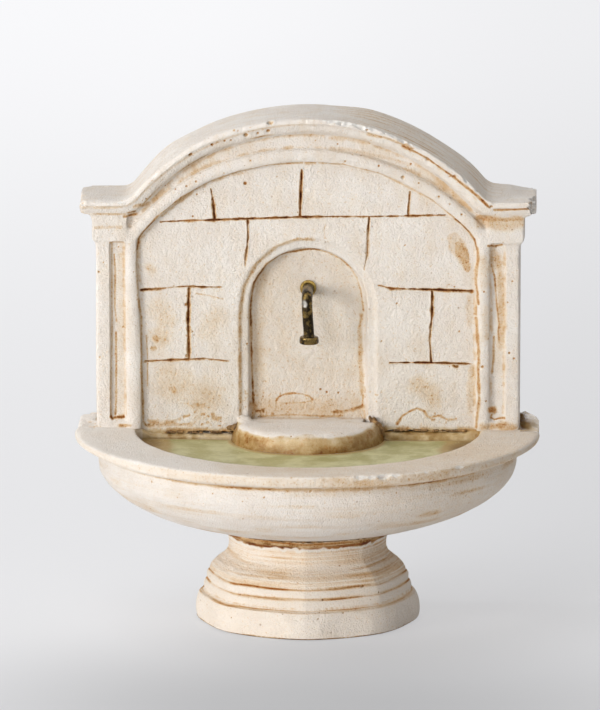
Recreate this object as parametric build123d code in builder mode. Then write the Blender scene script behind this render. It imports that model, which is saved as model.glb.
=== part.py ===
from build123d import *
from math import asin, atan, degrees, sqrt
import os

# A miniature wall fountain in cast plaster: a half-round basin on a turned foot, an arched back wall with a
# niche, and a bent nail for a spout. Sizes are in millimetres. X runs to the right along the wall, Y runs
# back into the wall from the face of its pilasters, and Z runs up from the surface that the foot stands on.

# Foot, turned about the Z axis
foot_height = 17.4
plinth_radius = 20.6
plinth_height = 5.1
plinth_belly_height = 1.8
plinth_toe_in = 0.3
plinth_lean = 0.8
plinth_sides = 8
plinth_flat_depth = 0.7
torus_radius = 19.1
torus_height = 2.1
bead_radius = 18.6
bead_height = 1.7
ring_bulge = 0.35
sweep_radius = 18.0
neck_radius = 14.5
neck_height = 13.9
collar_radius = 15.9
collar_height = 1.2

# Beds of adhesive between the castings
bed_thickness = 0.3
bed_inset = 0.4

# Basin, half round in front of the wall and straight-sided under it
basin_height = 17.4
seat_radius = 16.4
bowl_radius = 38.2
rim_radius = 42.4
rim_face_height = 2.3
rim_slope_height = 0.8
bowl_band_height = 2.3
pool_half_width = 31.2
pool_reach = 33.3
pool_depth = 8.5
pool_corner_radius = 4.0
freeboard = 2.2

# Back wall
wall_depth = 14.2
shaft_half_width = 38.65
shoulder_height = 42.0
arch_rise = 15.25
arch_radius = 42.6
ease_radius = 3.0
cornice_half_width = 41.5
cornice_height = 3.0
cornice_projection = 2.0
fascia_height = 1.2
ovolo_projection = 1.5
cornice_bed_projection = 0.4
impost_half_width = 39.4
impost_inner = 32.6
impost_height = 5.0
impost_projection = 0.5
impost_line_height = 2.4
panel_width = 2.7
panel_centre = 34.5
panel_foot = 1.5
panel_head = 34.0
panel_depth = 0.8

# Frame round the block field
field_half_width = 30.65
field_top = 48.8
field_arch_radius = 40.2
field_corner_radius = 3.0
field_recess = 1.0
roll_width = 2.5
roll_rise = 0.5
hollow_depth = 0.7
hollow_gap = 0.3

# Lines scored in the field: courses by height above the wall's foot, upright joints by distance from the
# middle
score_width = 0.5
score_depth = 0.35
score_margin = 0.7
first_course = 11.9
second_course = 25.4
third_course = 38.3
second_joint_foot = 29.3
lower_joints = (-21.7, 22.5)
middle_joints = (-11.0, 10.7)
upper_joints = (-17.2, -1.3, 18.3)

# Niche
niche_half_width = 10.3
niche_spring = 22.0
niche_splay = 0.5
niche_depth = 2.5
ledge_sink = 0.6
ledge_splay = 0.8
surround_width = 2.3

# Step at the foot of the niche
step_radius = 13.4
step_rise = 1.4
step_round = 1.6
step_fit = 0.1

# Spout: a nail driven into the back of the niche and bent down
nail_radius = 1.0
nail_reach = 9.0
nail_bend_radius = 2.6
nail_drop = 8.6
nail_grip = 6.0
nail_head_radius = 1.75
nail_head_height = 1.4
nail_head_round = 0.3
nail_fit = 0.05
spout_height = 25.05
spout_bead_radius = 1.5
spout_bead_height = 0.5
spout_bead_round = 0.25

# Levels and planes that the pieces share
basin_z = foot_height + bed_thickness
rim_z = basin_z + basin_height
pool_z = rim_z - pool_depth
water_z = rim_z - freeboard
wall_z = rim_z + bed_thickness
shoulder_z = wall_z + shoulder_height
impost_z = shoulder_z - cornice_height - impost_height
niche_y = field_recess + niche_depth
spout_z = wall_z + spout_height
face_plane = Plane.XZ
field_plane = Plane.XZ.offset(-field_recess)
niche_plane = Plane.XZ.offset(-niche_y)
back_plane = Plane.XZ.offset(-wall_depth)

os.makedirs("parts", exist_ok=True)


def finish(part, label):
    """Labels a finished piece and writes it under its name."""
    part.label = label
    export_step(part, f"parts/{label}.step")


def ring_profile(start, radius, height):
    """Convex edge of a turned ring that starts at a height and bulges to a radius."""
    low = (radius - ring_bulge, start)
    middle = (radius, start + height / 2)
    high = (radius - ring_bulge, start + height)
    return ThreePointArc(low, middle, high)


def bowl_section():
    """Half section of the solid bowl: an elliptical belly, a straight band and the rim that hangs over it."""
    slope_z = rim_z - rim_face_height
    band_z = slope_z - rim_slope_height
    belly_z = band_z - bowl_band_height
    belly_drop = (belly_z - basin_z) / sqrt(1 - (seat_radius / bowl_radius) ** 2)
    with BuildSketch() as section:
        with Locations((0, belly_z)):
            Ellipse(bowl_radius, belly_drop)
        with Locations((0, basin_z)):
            Rectangle(bowl_radius, belly_z - basin_z, align=Align.MIN, mode=Mode.INTERSECT)
        with BuildLine():
            Polyline((0, belly_z), (bowl_radius, belly_z), (bowl_radius, band_z), (rim_radius, slope_z))
            Polyline((rim_radius, slope_z), (rim_radius, rim_z), (0, rim_z), (0, belly_z))
        make_face()
    return section.sketch


def crown_line(half_width, drop, plane=Plane.XY):
    """Top edge of the wall lowered by a drop: flat shoulders eased into a segmental arch."""
    flat = shoulder_z - drop
    radius = arch_radius - drop
    ease = ease_radius + drop
    centre = shoulder_z + arch_rise - arch_radius
    ease_x = sqrt((radius + ease) ** 2 - (flat + ease - centre) ** 2)
    turn = degrees(asin(ease_x / (radius + ease)))
    with BuildLine(plane) as crown:
        left = Line((-half_width, flat), (-ease_x, flat))
        rise = JernArc(left @ 1, left % 1, ease, turn)
        arch = JernArc(rise @ 1, rise % 1, radius, -2 * turn)
        fall = JernArc(arch @ 1, arch % 1, ease, turn)
        Line(fall @ 1, (half_width, flat))
    return crown.line


def crown_outline(half_width, drop):
    """Front of the wall from its foot up to the lowered top edge."""
    flat = shoulder_z - drop
    with BuildSketch() as outline:
        with BuildLine():
            add(crown_line(half_width, drop))
            Polyline((half_width, flat), (half_width, wall_z), (-half_width, wall_z), (-half_width, flat))
        make_face()
    return outline.sketch


def field_line(offset, plane=Plane.XY):
    """Inner edge of the frame moved outwards: two jambs, rounded corners and a segmental arch."""
    half_width = field_half_width + offset
    radius = field_arch_radius + offset
    corner = field_corner_radius + offset
    centre = wall_z + field_top - field_arch_radius
    corner_x = half_width - corner
    corner_z = centre + sqrt((radius - corner) ** 2 - corner_x**2)
    lean = degrees(asin(corner_x / (radius - corner)))
    with BuildLine(plane) as edge:
        left = Line((-half_width, wall_z), (-half_width, corner_z))
        left_corner = JernArc(left @ 1, left % 1, corner, lean - 90)
        arch = JernArc(left_corner @ 1, left_corner % 1, radius, -2 * lean)
        right_corner = JernArc(arch @ 1, arch % 1, corner, lean - 90)
        Line(right_corner @ 1, (half_width, wall_z))
    return edge.line


def field_outline(offset):
    """Area inside the moved frame edge."""
    half_width = field_half_width + offset
    with BuildSketch() as outline:
        with BuildLine():
            add(field_line(offset))
            Line((half_width, wall_z), (-half_width, wall_z))
        make_face()
    return outline.sketch


def niche_outline(half_width, foot):
    """Round-headed outline of the niche, from a foot height up."""
    spring_z = wall_z + niche_spring
    with BuildSketch() as outline:
        with Locations((0, spring_z)):
            Circle(half_width)
        with Locations((0, foot)):
            Rectangle(2 * half_width, spring_z - foot, align=(Align.CENTER, Align.MIN))
    return outline.sketch


def field_head(x):
    """Height of the frame's arch above the wall's foot, at a distance from the middle."""
    return field_top - field_arch_radius + sqrt(field_arch_radius**2 - x**2)


def score_lines():
    """Ends of each scored line, as distance from the middle and height above the wall's foot."""
    field_end = field_half_width - score_margin
    niche_end = niche_half_width + surround_width + score_margin
    half_chord = sqrt(field_arch_radius**2 - (third_course - field_top + field_arch_radius) ** 2)
    lines = [((-half_chord + score_margin, third_course), (half_chord - score_margin, third_course))]
    for side in (-1, 1):
        for course in (first_course, second_course):
            lines.append(((side * niche_end, course), (side * field_end, course)))
    lines += [((x, first_course), (x, second_course)) for x in lower_joints]
    lines += [((x, second_joint_foot), (x, third_course)) for x in middle_joints]
    lines += [((x, third_course), (x, field_head(x) - score_margin)) for x in upper_joints]
    return lines


# Foot: the turned section, eight shallow flats round the plinth, and a flat back in line with the wall's
with BuildPart() as foot:
    with BuildSketch(Plane.XZ):
        with BuildLine():
            torus_z = plinth_height
            bead_z = torus_z + torus_height
            sweep_z = bead_z + bead_height
            collar_z = foot_height - collar_height
            base = Line((0, 0), (plinth_radius - plinth_toe_in, 0))
            plinth_top = (plinth_radius - plinth_lean, plinth_height)
            ThreePointArc(base @ 1, (plinth_radius, plinth_belly_height), plinth_top)
            torus = ring_profile(torus_z, torus_radius, torus_height)
            bead = ring_profile(bead_z, bead_radius, bead_height)
            Line(plinth_top, torus @ 0)
            Line(torus @ 1, bead @ 0)
            Line(bead @ 1, (sweep_radius, sweep_z))
            sweep_middle = (sweep_z + neck_height) / 2
            Bezier(
                (sweep_radius, sweep_z),
                (sweep_radius, sweep_middle),
                (neck_radius, sweep_middle),
                (neck_radius, neck_height),
            )
            Bezier((neck_radius, neck_height), (neck_radius, collar_z), (collar_radius, collar_z))
            Polyline((collar_radius, collar_z), (collar_radius, foot_height), (0, foot_height), (0, 0))
        make_face()
    revolve(axis=Axis.Z)
    with BuildSketch():
        RegularPolygon(plinth_radius - plinth_flat_depth, plinth_sides, major_radius=False)
    extrude(amount=foot_height, mode=Mode.INTERSECT)
    split(bisect_by=back_plane, keep=Keep.TOP)
finish(foot.part, "foot")

# Bed between foot and basin
with BuildPart() as foot_bed:
    with BuildSketch(Plane.XY.offset(foot_height)):
        Circle(collar_radius - bed_inset)
    extrude(amount=bed_thickness)
    split(bisect_by=back_plane.offset(bed_inset), keep=Keep.TOP)
finish(foot_bed.part, "foot_bed")

# Pool: the half-oval hollow that is cut out of the basin and filled by the water, its floor rounded into its
# side
with BuildPart() as pool:
    with BuildSketch(Plane.XY.offset(pool_z)):
        Ellipse(pool_half_width, pool_reach)
        split(bisect_by=Plane.XZ, keep=Keep.TOP)
    extrude(amount=pool_depth)
    floor_edge = pool.faces().sort_by(Axis.Z)[0].edges().sort_by(Axis.Y)[0]
    fillet(floor_edge, pool_corner_radius)

# Basin: the bowl turned in front of the wall and carried straight back under it, then the pool cut out
with BuildPart() as basin:
    with BuildSketch(Plane.XZ):
        add(bowl_section())
    revolve(axis=Axis.Z)
    with BuildSketch(Plane.XZ):
        add(bowl_section())
        mirror(about=Plane.YZ)
    extrude(amount=-wall_depth)
    split(bisect_by=back_plane, keep=Keep.TOP)
    add(pool.part, mode=Mode.SUBTRACT)
finish(basin.part, "basin")

# Back wall: shaft, imposts and a cornice swept along the crown, then the frame, the field and the niche
with BuildPart() as back_wall:
    with BuildSketch(back_plane):
        add(crown_outline(shaft_half_width, cornice_height))
    extrude(amount=wall_depth)
    with BuildSketch(back_plane):
        impost_middle = (impost_inner + impost_half_width) / 2
        with Locations((-impost_middle, impost_z), (impost_middle, impost_z)):
            Rectangle(impost_half_width - impost_inner, impost_height, align=(Align.CENTER, Align.MIN))
    extrude(amount=wall_depth + impost_projection)

    crown = crown_line(cornice_half_width, 0, Plane.XZ)
    with BuildSketch(Plane(crown @ 0, x_dir=(0, -1, 0), z_dir=crown % 0)):
        with BuildLine():
            fascia_foot = (cornice_projection, fascia_height)
            ovolo_top = (ovolo_projection, fascia_height)
            ovolo_foot = (cornice_bed_projection, cornice_height)
            back_foot = (-wall_depth, cornice_height)
            Polyline(back_foot, (-wall_depth, 0), (cornice_projection, 0), fascia_foot, ovolo_top)
            TangentArc(ovolo_top, ovolo_foot, tangent=(0, 1))
            Line(ovolo_foot, back_foot)
        make_face()
    sweep(path=crown)

    with BuildSketch(face_plane):
        add(crown_outline(shaft_half_width, cornice_height + hollow_gap))
        hollow_height = cornice_height + impost_height + arch_rise
        with Locations((0, impost_z)):
            Rectangle(2 * impost_inner, hollow_height, align=(Align.CENTER, Align.MIN), mode=Mode.INTERSECT)
    extrude(amount=-hollow_depth, mode=Mode.SUBTRACT)
    with BuildSketch(face_plane):
        add(field_outline(0))
    extrude(amount=-field_recess, mode=Mode.SUBTRACT)

    roll_path = field_line(roll_width / 2, Plane.XZ)
    with BuildSketch(Plane(roll_path @ 0, x_dir=(1, 0, 0), z_dir=roll_path % 0)):
        with BuildLine():
            inner = roll_width / 2
            ThreePointArc((-inner, 0), (0, -roll_rise), (inner, 0))
            Polyline((inner, 0), (inner, field_recess), (-inner, field_recess), (-inner, 0))
        make_face()
    sweep(path=roll_path)

    with BuildSketch(face_plane):
        panel_height = panel_head - panel_foot
        with Locations((-panel_centre, wall_z + panel_foot), (panel_centre, wall_z + panel_foot)):
            Rectangle(panel_width, panel_height, align=(Align.CENTER, Align.MIN))
    extrude(amount=-panel_depth, mode=Mode.SUBTRACT)
    with BuildSketch(face_plane.offset(impost_projection)):
        impost_line_z = impost_z + impost_line_height
        with Locations((-impost_middle, impost_line_z), (impost_middle, impost_line_z)):
            Rectangle(impost_half_width - impost_inner, score_width)
    extrude(amount=-score_depth, mode=Mode.SUBTRACT)

    with BuildSketch(field_plane):
        for start, end in score_lines():
            width = abs(end[0] - start[0]) + score_width
            height = abs(end[1] - start[1]) + score_width
            with Locations(((start[0] + end[0]) / 2, wall_z + (start[1] + end[1]) / 2)):
                Rectangle(width, height)
    extrude(amount=-score_depth, mode=Mode.SUBTRACT)

    ledge_angle = degrees(atan(ledge_splay / ledge_sink))
    with BuildSketch(field_plane):
        add(niche_outline(niche_half_width + surround_width, wall_z - 2 * ledge_splay))
    extrude(amount=-ledge_sink, taper=ledge_angle, mode=Mode.SUBTRACT)
    floor_sink = niche_depth - ledge_sink
    splay_angle = degrees(atan(niche_splay / floor_sink))
    with BuildSketch(field_plane.offset(-ledge_sink)):
        add(niche_outline(niche_half_width + niche_splay, wall_z - 2 * niche_splay))
    extrude(amount=-floor_sink, taper=splay_angle, mode=Mode.SUBTRACT)

    with BuildSketch(niche_plane):
        with Locations((0, spout_z)):
            Circle(nail_radius + nail_fit)
    extrude(amount=-nail_grip, mode=Mode.SUBTRACT)
finish(back_wall.part, "back_wall")

# Bed under the wall, behind the foot of the niche
with BuildPart() as wall_bed:
    with BuildSketch(Plane.XY.offset(rim_z)):
        bed_front = niche_y + bed_inset
        bed_depth = wall_depth - bed_inset - bed_front
        with Locations((0, bed_front)):
            Rectangle(2 * (shaft_half_width - bed_inset), bed_depth, align=(Align.CENTER, Align.MIN))
    extrude(amount=bed_thickness)
finish(wall_bed.part, "wall_bed")

# Step: a half-round block on the floor of the pool, with a tongue that lies on the rim in the niche's foot
with BuildPart() as niche_step:
    with BuildSketch(Plane.XY.offset(pool_z)):
        Circle(step_radius)
        split(bisect_by=Plane.XZ, keep=Keep.TOP)
    extrude(amount=pool_depth + step_rise)
    front_edge = niche_step.faces().sort_by(Axis.Z)[-1].edges().filter_by(GeomType.CIRCLE)
    fillet(front_edge, step_round)
    with BuildSketch(Plane.XY.offset(rim_z)):
        tongue_width = 2 * (niche_half_width - step_fit)
        Rectangle(tongue_width, niche_y - step_fit, align=(Align.CENTER, Align.MIN))
    extrude(amount=step_rise)
finish(niche_step.part, "niche_step")

# Water: the pool filled to the freeboard, round the step
with BuildPart() as water:
    add(pool.part)
    split(bisect_by=Plane.XY.offset(water_z), keep=Keep.BOTTOM)
    add(niche_step.part, mode=Mode.SUBTRACT)
finish(water.part, "water")

# Spout: the nail's shank swept along its bend, with its head at the lower end
with BuildPart() as spout:
    nail_y = niche_y - nail_reach
    nail_tip_z = spout_z - nail_drop
    with BuildLine(Plane.YZ) as shank:
        nail_end = (niche_y + nail_grip, spout_z)
        FilletPolyline(nail_end, (nail_y, spout_z), (nail_y, nail_tip_z), radius=nail_bend_radius)
    with BuildSketch(Plane(shank.line @ 0, z_dir=shank.line % 0)):
        Circle(nail_radius)
    sweep(path=shank.line)
    with BuildSketch(Plane((0, nail_y, nail_tip_z))):
        Circle(nail_head_radius)
    extrude(amount=nail_head_height)
    head_edges = spout.edges().filter_by(GeomType.CIRCLE).filter_by(lambda edge: edge.radius > nail_radius)
    fillet(head_edges, nail_head_round)
finish(spout.part, "spout")

# Bead of adhesive round the nail's root
with BuildPart() as spout_bead:
    with BuildSketch(niche_plane):
        with Locations((0, spout_z)):
            Circle(spout_bead_radius)
            Circle(nail_radius, mode=Mode.SUBTRACT)
    extrude(amount=spout_bead_height)
    bead_front = spout_bead.faces().sort_by(Axis.Y)[0]
    bead_edge = bead_front.edges().filter_by(lambda edge: edge.radius > nail_radius)
    fillet(bead_edge, spout_bead_round)
finish(spout_bead.part, "spout_bead")
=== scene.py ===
import itertools
import math

import bmesh
import bpy
import numpy as np
from mathutils import Matrix, Vector
from mathutils.kdtree import KDTree


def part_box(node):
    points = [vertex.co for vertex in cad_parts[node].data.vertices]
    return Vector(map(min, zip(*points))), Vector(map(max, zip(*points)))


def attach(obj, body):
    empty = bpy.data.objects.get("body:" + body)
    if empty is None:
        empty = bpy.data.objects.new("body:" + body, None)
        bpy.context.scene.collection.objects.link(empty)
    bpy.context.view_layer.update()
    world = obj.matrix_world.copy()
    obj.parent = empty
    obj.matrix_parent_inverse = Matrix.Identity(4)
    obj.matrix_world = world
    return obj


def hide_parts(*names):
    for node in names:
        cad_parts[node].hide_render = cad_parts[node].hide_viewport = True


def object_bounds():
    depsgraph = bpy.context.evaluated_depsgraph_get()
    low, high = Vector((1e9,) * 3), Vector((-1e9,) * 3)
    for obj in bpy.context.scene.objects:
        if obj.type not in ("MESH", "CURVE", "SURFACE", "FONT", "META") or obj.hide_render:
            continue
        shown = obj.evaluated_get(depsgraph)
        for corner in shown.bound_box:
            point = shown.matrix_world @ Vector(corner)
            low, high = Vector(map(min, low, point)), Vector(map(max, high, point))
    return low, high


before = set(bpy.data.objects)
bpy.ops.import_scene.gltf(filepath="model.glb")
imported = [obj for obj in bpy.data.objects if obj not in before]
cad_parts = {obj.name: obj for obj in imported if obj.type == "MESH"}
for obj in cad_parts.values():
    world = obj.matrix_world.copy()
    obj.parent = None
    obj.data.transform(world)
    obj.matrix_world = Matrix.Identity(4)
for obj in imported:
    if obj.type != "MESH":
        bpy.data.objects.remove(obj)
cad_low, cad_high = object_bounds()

# Looks of a miniature plaster wall fountain. Lengths are in millimetres, and in metres for the stage, the
# lamps and the camera. X runs to the right along the wall, Y back into it and Z up, as in the CAD frame.
MM = 0.001
scene = bpy.context.scene

# Levels and outlines that the pieces share
WALL_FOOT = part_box("back_wall")[0].z / MM
RIM_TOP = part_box("basin")[1].z / MM
WATER_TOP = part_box("water")[1].z / MM
RIM_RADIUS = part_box("basin")[1].x / MM
FOOT_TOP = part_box("foot")[1].z / MM
FOOT_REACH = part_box("foot")[1].x / MM
BACK = cad_high[1] / MM
BASIN_HEIGHT = 17.4
FIELD_FACE = 1.0
FIELD_HALF_WIDTH = 30.65
FIELD_ARCH_RADIUS = 40.2
FIELD_ARCH_CENTRE = 8.6
FIELD_CORNER = (27.65, 33.49)
FIELD_CORNER_RADIUS = 3.0
NICHE_SPRING = 22.0
SURROUND_RADIUS = 12.6
CROWN_RADIUS = 42.6
CROWN_CENTRE = 14.65
CROWN_FLAT = 42.0
EASE_CENTRE = (34.03, 45.0)
EASE_RADIUS = 3.0
EASE_START = 31.79
POOL_HALF_WIDTH = 31.2
POOL_REACH = 33.3
STEP_RADIUS = 13.4


def lattice(cells, seed):
    """A fixed random number from -1 to 1 for each whole-number cell."""
    whole = cells.astype(np.uint32)
    mixed = whole[:, 0] * np.uint32(73856093)
    mixed ^= whole[:, 1] * np.uint32(19349663)
    mixed ^= whole[:, 2] * np.uint32(83492791)
    mixed ^= np.uint32(seed * 7919 + 17)
    mixed ^= mixed >> np.uint32(13)
    mixed *= np.uint32(1274126177)
    mixed ^= mixed >> np.uint32(16)
    return mixed / 2.0**31 - 1.0


def noise(points, size, seed):
    """Smooth noise from -1 to 1 with lumps of a size, or of one size for each axis."""
    scaled = points / np.asarray(size, float)
    cell = np.floor(scaled)
    part = scaled - cell
    part = part * part * (3 - 2 * part)
    cell = cell.astype(np.int64)
    total = np.zeros(len(points))
    for corner in itertools.product((0, 1), repeat=3):
        weight = np.prod(np.where(corner, part, 1 - part), axis=1)
        total += weight * lattice(cell + np.array(corner), seed)
    return total


def ramp(values, low, high):
    """Smooth step from 0 at low to 1 at high, either way round."""
    t = np.clip((values - low) / (high - low), 0, 1)
    return t * t * (3 - 2 * t)


def bell(values, centre, width):
    """Soft bump of height 1 round a centre."""
    return np.exp(-(((values - centre) / width) ** 2))


def trace(points, line, reach):
    """Points within reach of a flat line of (x, height, values...): numbers, distances and values."""
    line = np.array(line, float)
    low, high = line[:, :2].min(0) - reach, line[:, :2].max(0) + reach
    chosen = np.flatnonzero(((points > low) & (points < high)).all(1))
    best = np.full(len(chosen), np.inf)
    values = np.zeros((len(chosen), line.shape[1] - 2))
    for start, end in zip(line[:-1], line[1:]):
        offset = points[chosen] - start[:2]
        step = end[:2] - start[:2]
        part = np.clip((offset @ step) / (step @ step), 0, 1)
        away = np.hypot(*(offset - part[:, None] * step).T)
        closer = away < best
        best[closer] = away[closer]
        values[closer] = start[2:] + part[closer, None] * (end[2:] - start[2:])
    close = best < reach
    return chosen[close], best[close], values[close]


def trace_front(front, points, line, reach):
    """What trace gives, for the points of a mask alone."""
    spots, away, values = trace(points, line, reach)
    keep = front[spots]
    return spots[keep], away[keep], values[keep]


def raise_to(marks, spots, values):
    """Raises marks at some points to given values, where those are higher."""
    marks[spots] = np.maximum(marks[spots], values)


def place_object(name, data):
    """A new object in the scene."""
    made = bpy.data.objects.new(name, data)
    scene.collection.objects.link(made)
    return made


class Casting:
    """A fine, evenly meshed stand-in for one CAD node, with worn edges and marks kept as attributes."""

    def __init__(self, node, piece, voxel, wear, lumps=()):
        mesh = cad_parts[node].data.copy()
        if lumps:
            work = bmesh.new()
            work.from_mesh(mesh)
            for place, radii in lumps:
                matrix = Matrix.LocRotScale(Vector(place) * MM, None, Vector(radii) * MM)
                bmesh.ops.create_icosphere(work, subdivisions=2, radius=1.0, matrix=matrix)
            work.to_mesh(mesh)
            work.free()
        self.piece = place_object(piece, mesh)
        remesh = self.piece.modifiers.new("remesh", "REMESH")
        remesh.mode = "VOXEL"
        remesh.voxel_size = voxel * MM
        smooth = self.piece.modifiers.new("wear", "SMOOTH")
        smooth.factor = 0.5
        smooth.iterations = wear
        bpy.context.view_layer.update()
        shaped = self.piece.evaluated_get(bpy.context.evaluated_depsgraph_get())
        mesh = bpy.data.meshes.new_from_object(shaped)
        self.piece.modifiers.clear()
        self.piece.data = mesh
        mesh.materials.clear()
        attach(self.piece, "root")
        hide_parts(node)
        self.read()

    def read(self):
        """Takes the points, edges and normals from the mesh."""
        mesh = self.piece.data
        flat = np.empty(len(mesh.vertices) * 3, np.float32)
        mesh.vertices.foreach_get("co", flat)
        self.points = flat.reshape(-1, 3).astype(float) / MM
        ends = np.empty(len(mesh.edges) * 2, np.int32)
        mesh.edges.foreach_get("vertices", ends)
        self.edges = ends.reshape(-1, 2)
        self.degree = np.maximum(np.bincount(ends, minlength=len(self.points)), 1)
        self.read_normals()

    def read_normals(self):
        """Takes the normals of the present shape."""
        mesh = self.piece.data
        flat = np.empty(len(mesh.vertices) * 3, np.float32)
        mesh.vertex_normals.foreach_get("vector", flat)
        self.normals = flat.reshape(-1, 3).astype(float)

    def write(self):
        """Puts the points back into the mesh."""
        mesh = self.piece.data
        mesh.vertices.foreach_set("co", (self.points * MM).astype(np.float32).ravel())
        mesh.update()
        self.read_normals()

    def refine(self, near):
        """Halves the mesh where a mask of points is true."""
        mesh = self.piece.data
        work = bmesh.new()
        work.from_mesh(mesh)
        chosen = [edge for edge in work.edges if near[edge.verts[0].index] and near[edge.verts[1].index]]
        bmesh.ops.subdivide_edges(work, edges=chosen, cuts=1, use_grid_fill=True)
        work.to_mesh(mesh)
        work.free()
        self.read()

    def average(self, values, times):
        """Values averaged with their neighbours a number of times."""
        columns = values.reshape(len(values), -1).copy()
        first, second = self.edges.T
        for _ in range(times):
            for k in range(columns.shape[1]):
                total = np.bincount(first, columns[second, k], len(columns))
                total += np.bincount(second, columns[first, k], len(columns))
                columns[:, k] = 0.5 * columns[:, k] + 0.5 * total / self.degree
        return columns.reshape(values.shape)

    def noise(self, size, seed):
        """Smooth noise at the points as they are now."""
        return noise(self.points, size, seed)

    def soften(self, mask, times):
        """Rounds the shape off where a mask from 0 to 1 is set."""
        self.points += mask[:, None] * (self.average(self.points, times) - self.points)

    def push(self, amount):
        """Moves each point out along its normal."""
        self.points += self.normals * amount[:, None]

    def keep_inside(self):
        """Holds the points inside the CAD model's box."""
        self.points = np.clip(self.points, np.array(cad_low) / MM, np.array(cad_high) / MM)

    def pits(self, chosen, count, smallest, largest, seed):
        """Sinks round bubbles at random points of a mask and returns how dark each point gets."""
        picker = np.random.default_rng(seed)
        places = picker.choice(np.flatnonzero(chosen), count, replace=False)
        sizes = smallest + (largest - smallest) * picker.random(count) ** 3
        return self.sink([(self.points[place], size) for place, size in zip(places, sizes)])

    def sink(self, bubbles):
        """Sinks a round bubble at each place and returns how dark each point gets."""
        tree = KDTree(len(self.points))
        for index, point in enumerate(self.points):
            tree.insert(point, index)
        tree.balance()
        dark = np.zeros(len(self.points))
        depth = np.zeros(len(self.points))
        for place, radius in bubbles:
            for _, index, away in tree.find_range(place, radius):
                part = 1 - (away / radius) ** 2
                depth[index] = max(depth[index], 0.9 * radius * math.sqrt(max(part, 0.0)))
                dark[index] = max(dark[index], min(1.0, 1.6 * part))
        self.push(-depth)
        return dark

    def chip(self, place, direction, radius, depth, seed):
        """Breaks a piece off an edge and returns where the bare plaster shows."""
        direction = np.array(direction, float) / np.linalg.norm(direction)
        offset = self.points - np.array(place, float)
        away = np.linalg.norm(offset, axis=1)
        close = away < radius
        bare = np.zeros(len(self.points))
        part = 1 - (away[close] / radius) ** 2
        rough = 1 + 0.5 * noise(self.points[close], 0.6, seed)
        cut = np.clip(offset[close] @ direction + depth * rough * part, 0, None)
        self.points[close] -= direction * cut[:, None]
        bare[close] = ramp(cut, 0.03, 0.15)
        return bare

    def break_off(self, chips, seed):
        """Makes a number of chips in turn and returns where the bare plaster shows."""
        bare = np.zeros(len(self.points))
        for step, chip in enumerate(chips):
            bare = np.maximum(bare, self.chip(*chip, seed + step))
        return bare

    def hollows(self):
        """Depth of each point in hollows at a fine and at a broad scale: below zero on outer edges."""
        fine = self.average(self.points, 6)
        broad = self.average(fine, 50)
        depths = [((mean - self.points) * self.normals).sum(1) for mean in (fine, broad)]
        return {"fine": depths[0], "broad": depths[1]}

    def finish(self, material, slot, **marks):
        """Keeps values at the points as attributes of the mesh and sets its material."""
        mesh = self.piece.data
        for name, values in marks.items():
            layer = mesh.attributes.new(name, "FLOAT", "POINT")
            layer.data.foreach_set("value", values.astype(np.float32))
        mesh.polygons.foreach_set("use_smooth", np.ones(len(mesh.polygons), bool))
        mesh.materials.append(material)


# Shader helpers
def clear_tree(owner):
    """The emptied node tree of a material or a world."""
    owner.use_nodes = True
    owner.node_tree.nodes.clear()
    return owner.node_tree


def add(tree, kind, inputs=None, **settings):
    """Adds a shader node with its settings and inputs: an input is a value or another node's output."""
    made = tree.nodes.new("ShaderNode" + kind)
    for name, value in settings.items():
        setattr(made, name, value)
    for key, value in (inputs or {}).items():
        join(tree, made.inputs[key], value)
    return made


def join(tree, socket, value):
    """Sets a socket to a value or links another node's output to it."""
    if isinstance(value, bpy.types.NodeSocket):
        tree.links.new(value, socket)
    else:
        socket.default_value = value


def maths(tree, operation, first, second=0.0):
    """The result of an operation on two values."""
    return add(tree, "Math", {0: first, 1: second}, operation=operation).outputs[0]


def spread(tree, value, low, high, to_low=0.0, to_high=1.0):
    """A value mapped smoothly from one range to another."""
    inputs = {"Value": value, "From Min": low, "From Max": high, "To Min": to_low, "To Max": to_high}
    return add(tree, "MapRange", inputs, interpolation_type="SMOOTHSTEP").outputs[0]


def blend(tree, factor, first, second, kind="MIX"):
    """Two colours mixed by a factor."""
    made = add(tree, "Mix", data_type="RGBA", blend_type=kind)
    for socket, value in zip((made.inputs[0], made.inputs[6], made.inputs[7]), (factor, first, second)):
        join(tree, socket, value)
    return made.outputs[2]


def wash_over(tree, colour, tint, amount):
    """A colour under a thin wash: each channel is darkened by the tint to the power of the wash's amount."""
    powers = {k: maths(tree, "POWER", tint[k], amount) for k in range(3)}
    return blend(tree, 1.0, colour, add(tree, "CombineColor", powers).outputs[0], "MULTIPLY")


def attribute(tree, name):
    """A mark that is kept in the mesh."""
    return add(tree, "Attribute", attribute_name=name).outputs["Fac"]


def cloud(tree, place, stretch, detail=3.0, roughness=0.55, offset=0.0):
    """Noise from 0 to 1 in millimetres, with a number of lumps per millimetre along each axis."""
    moved = add(tree, "Mapping", {"Vector": place, "Location": (offset, offset, offset), "Scale": stretch})
    inputs = {"Vector": moved.outputs[0], "Scale": 1.0, "Detail": detail, "Roughness": roughness}
    return add(tree, "TexNoise", inputs).outputs["Fac"]


def new_material(name):
    """A material with its node tree, its shader and the place on the piece in millimetres."""
    material = bpy.data.materials.new(name)
    tree = clear_tree(material)
    shader = add(tree, "BsdfPrincipled")
    add(tree, "OutputMaterial", {"Surface": shader.outputs[0]})
    local = add(tree, "TexCoord").outputs["Object"]
    place = add(tree, "VectorMath", {0: local, "Scale": 1 / MM}, operation="SCALE")
    return material, tree, shader, place.outputs[0]


def dress(tree, shader, **values):
    """Sets or links the shader's inputs."""
    for name, value in values.items():
        join(tree, shader.inputs[name.replace("_", " ")], value)


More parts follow.
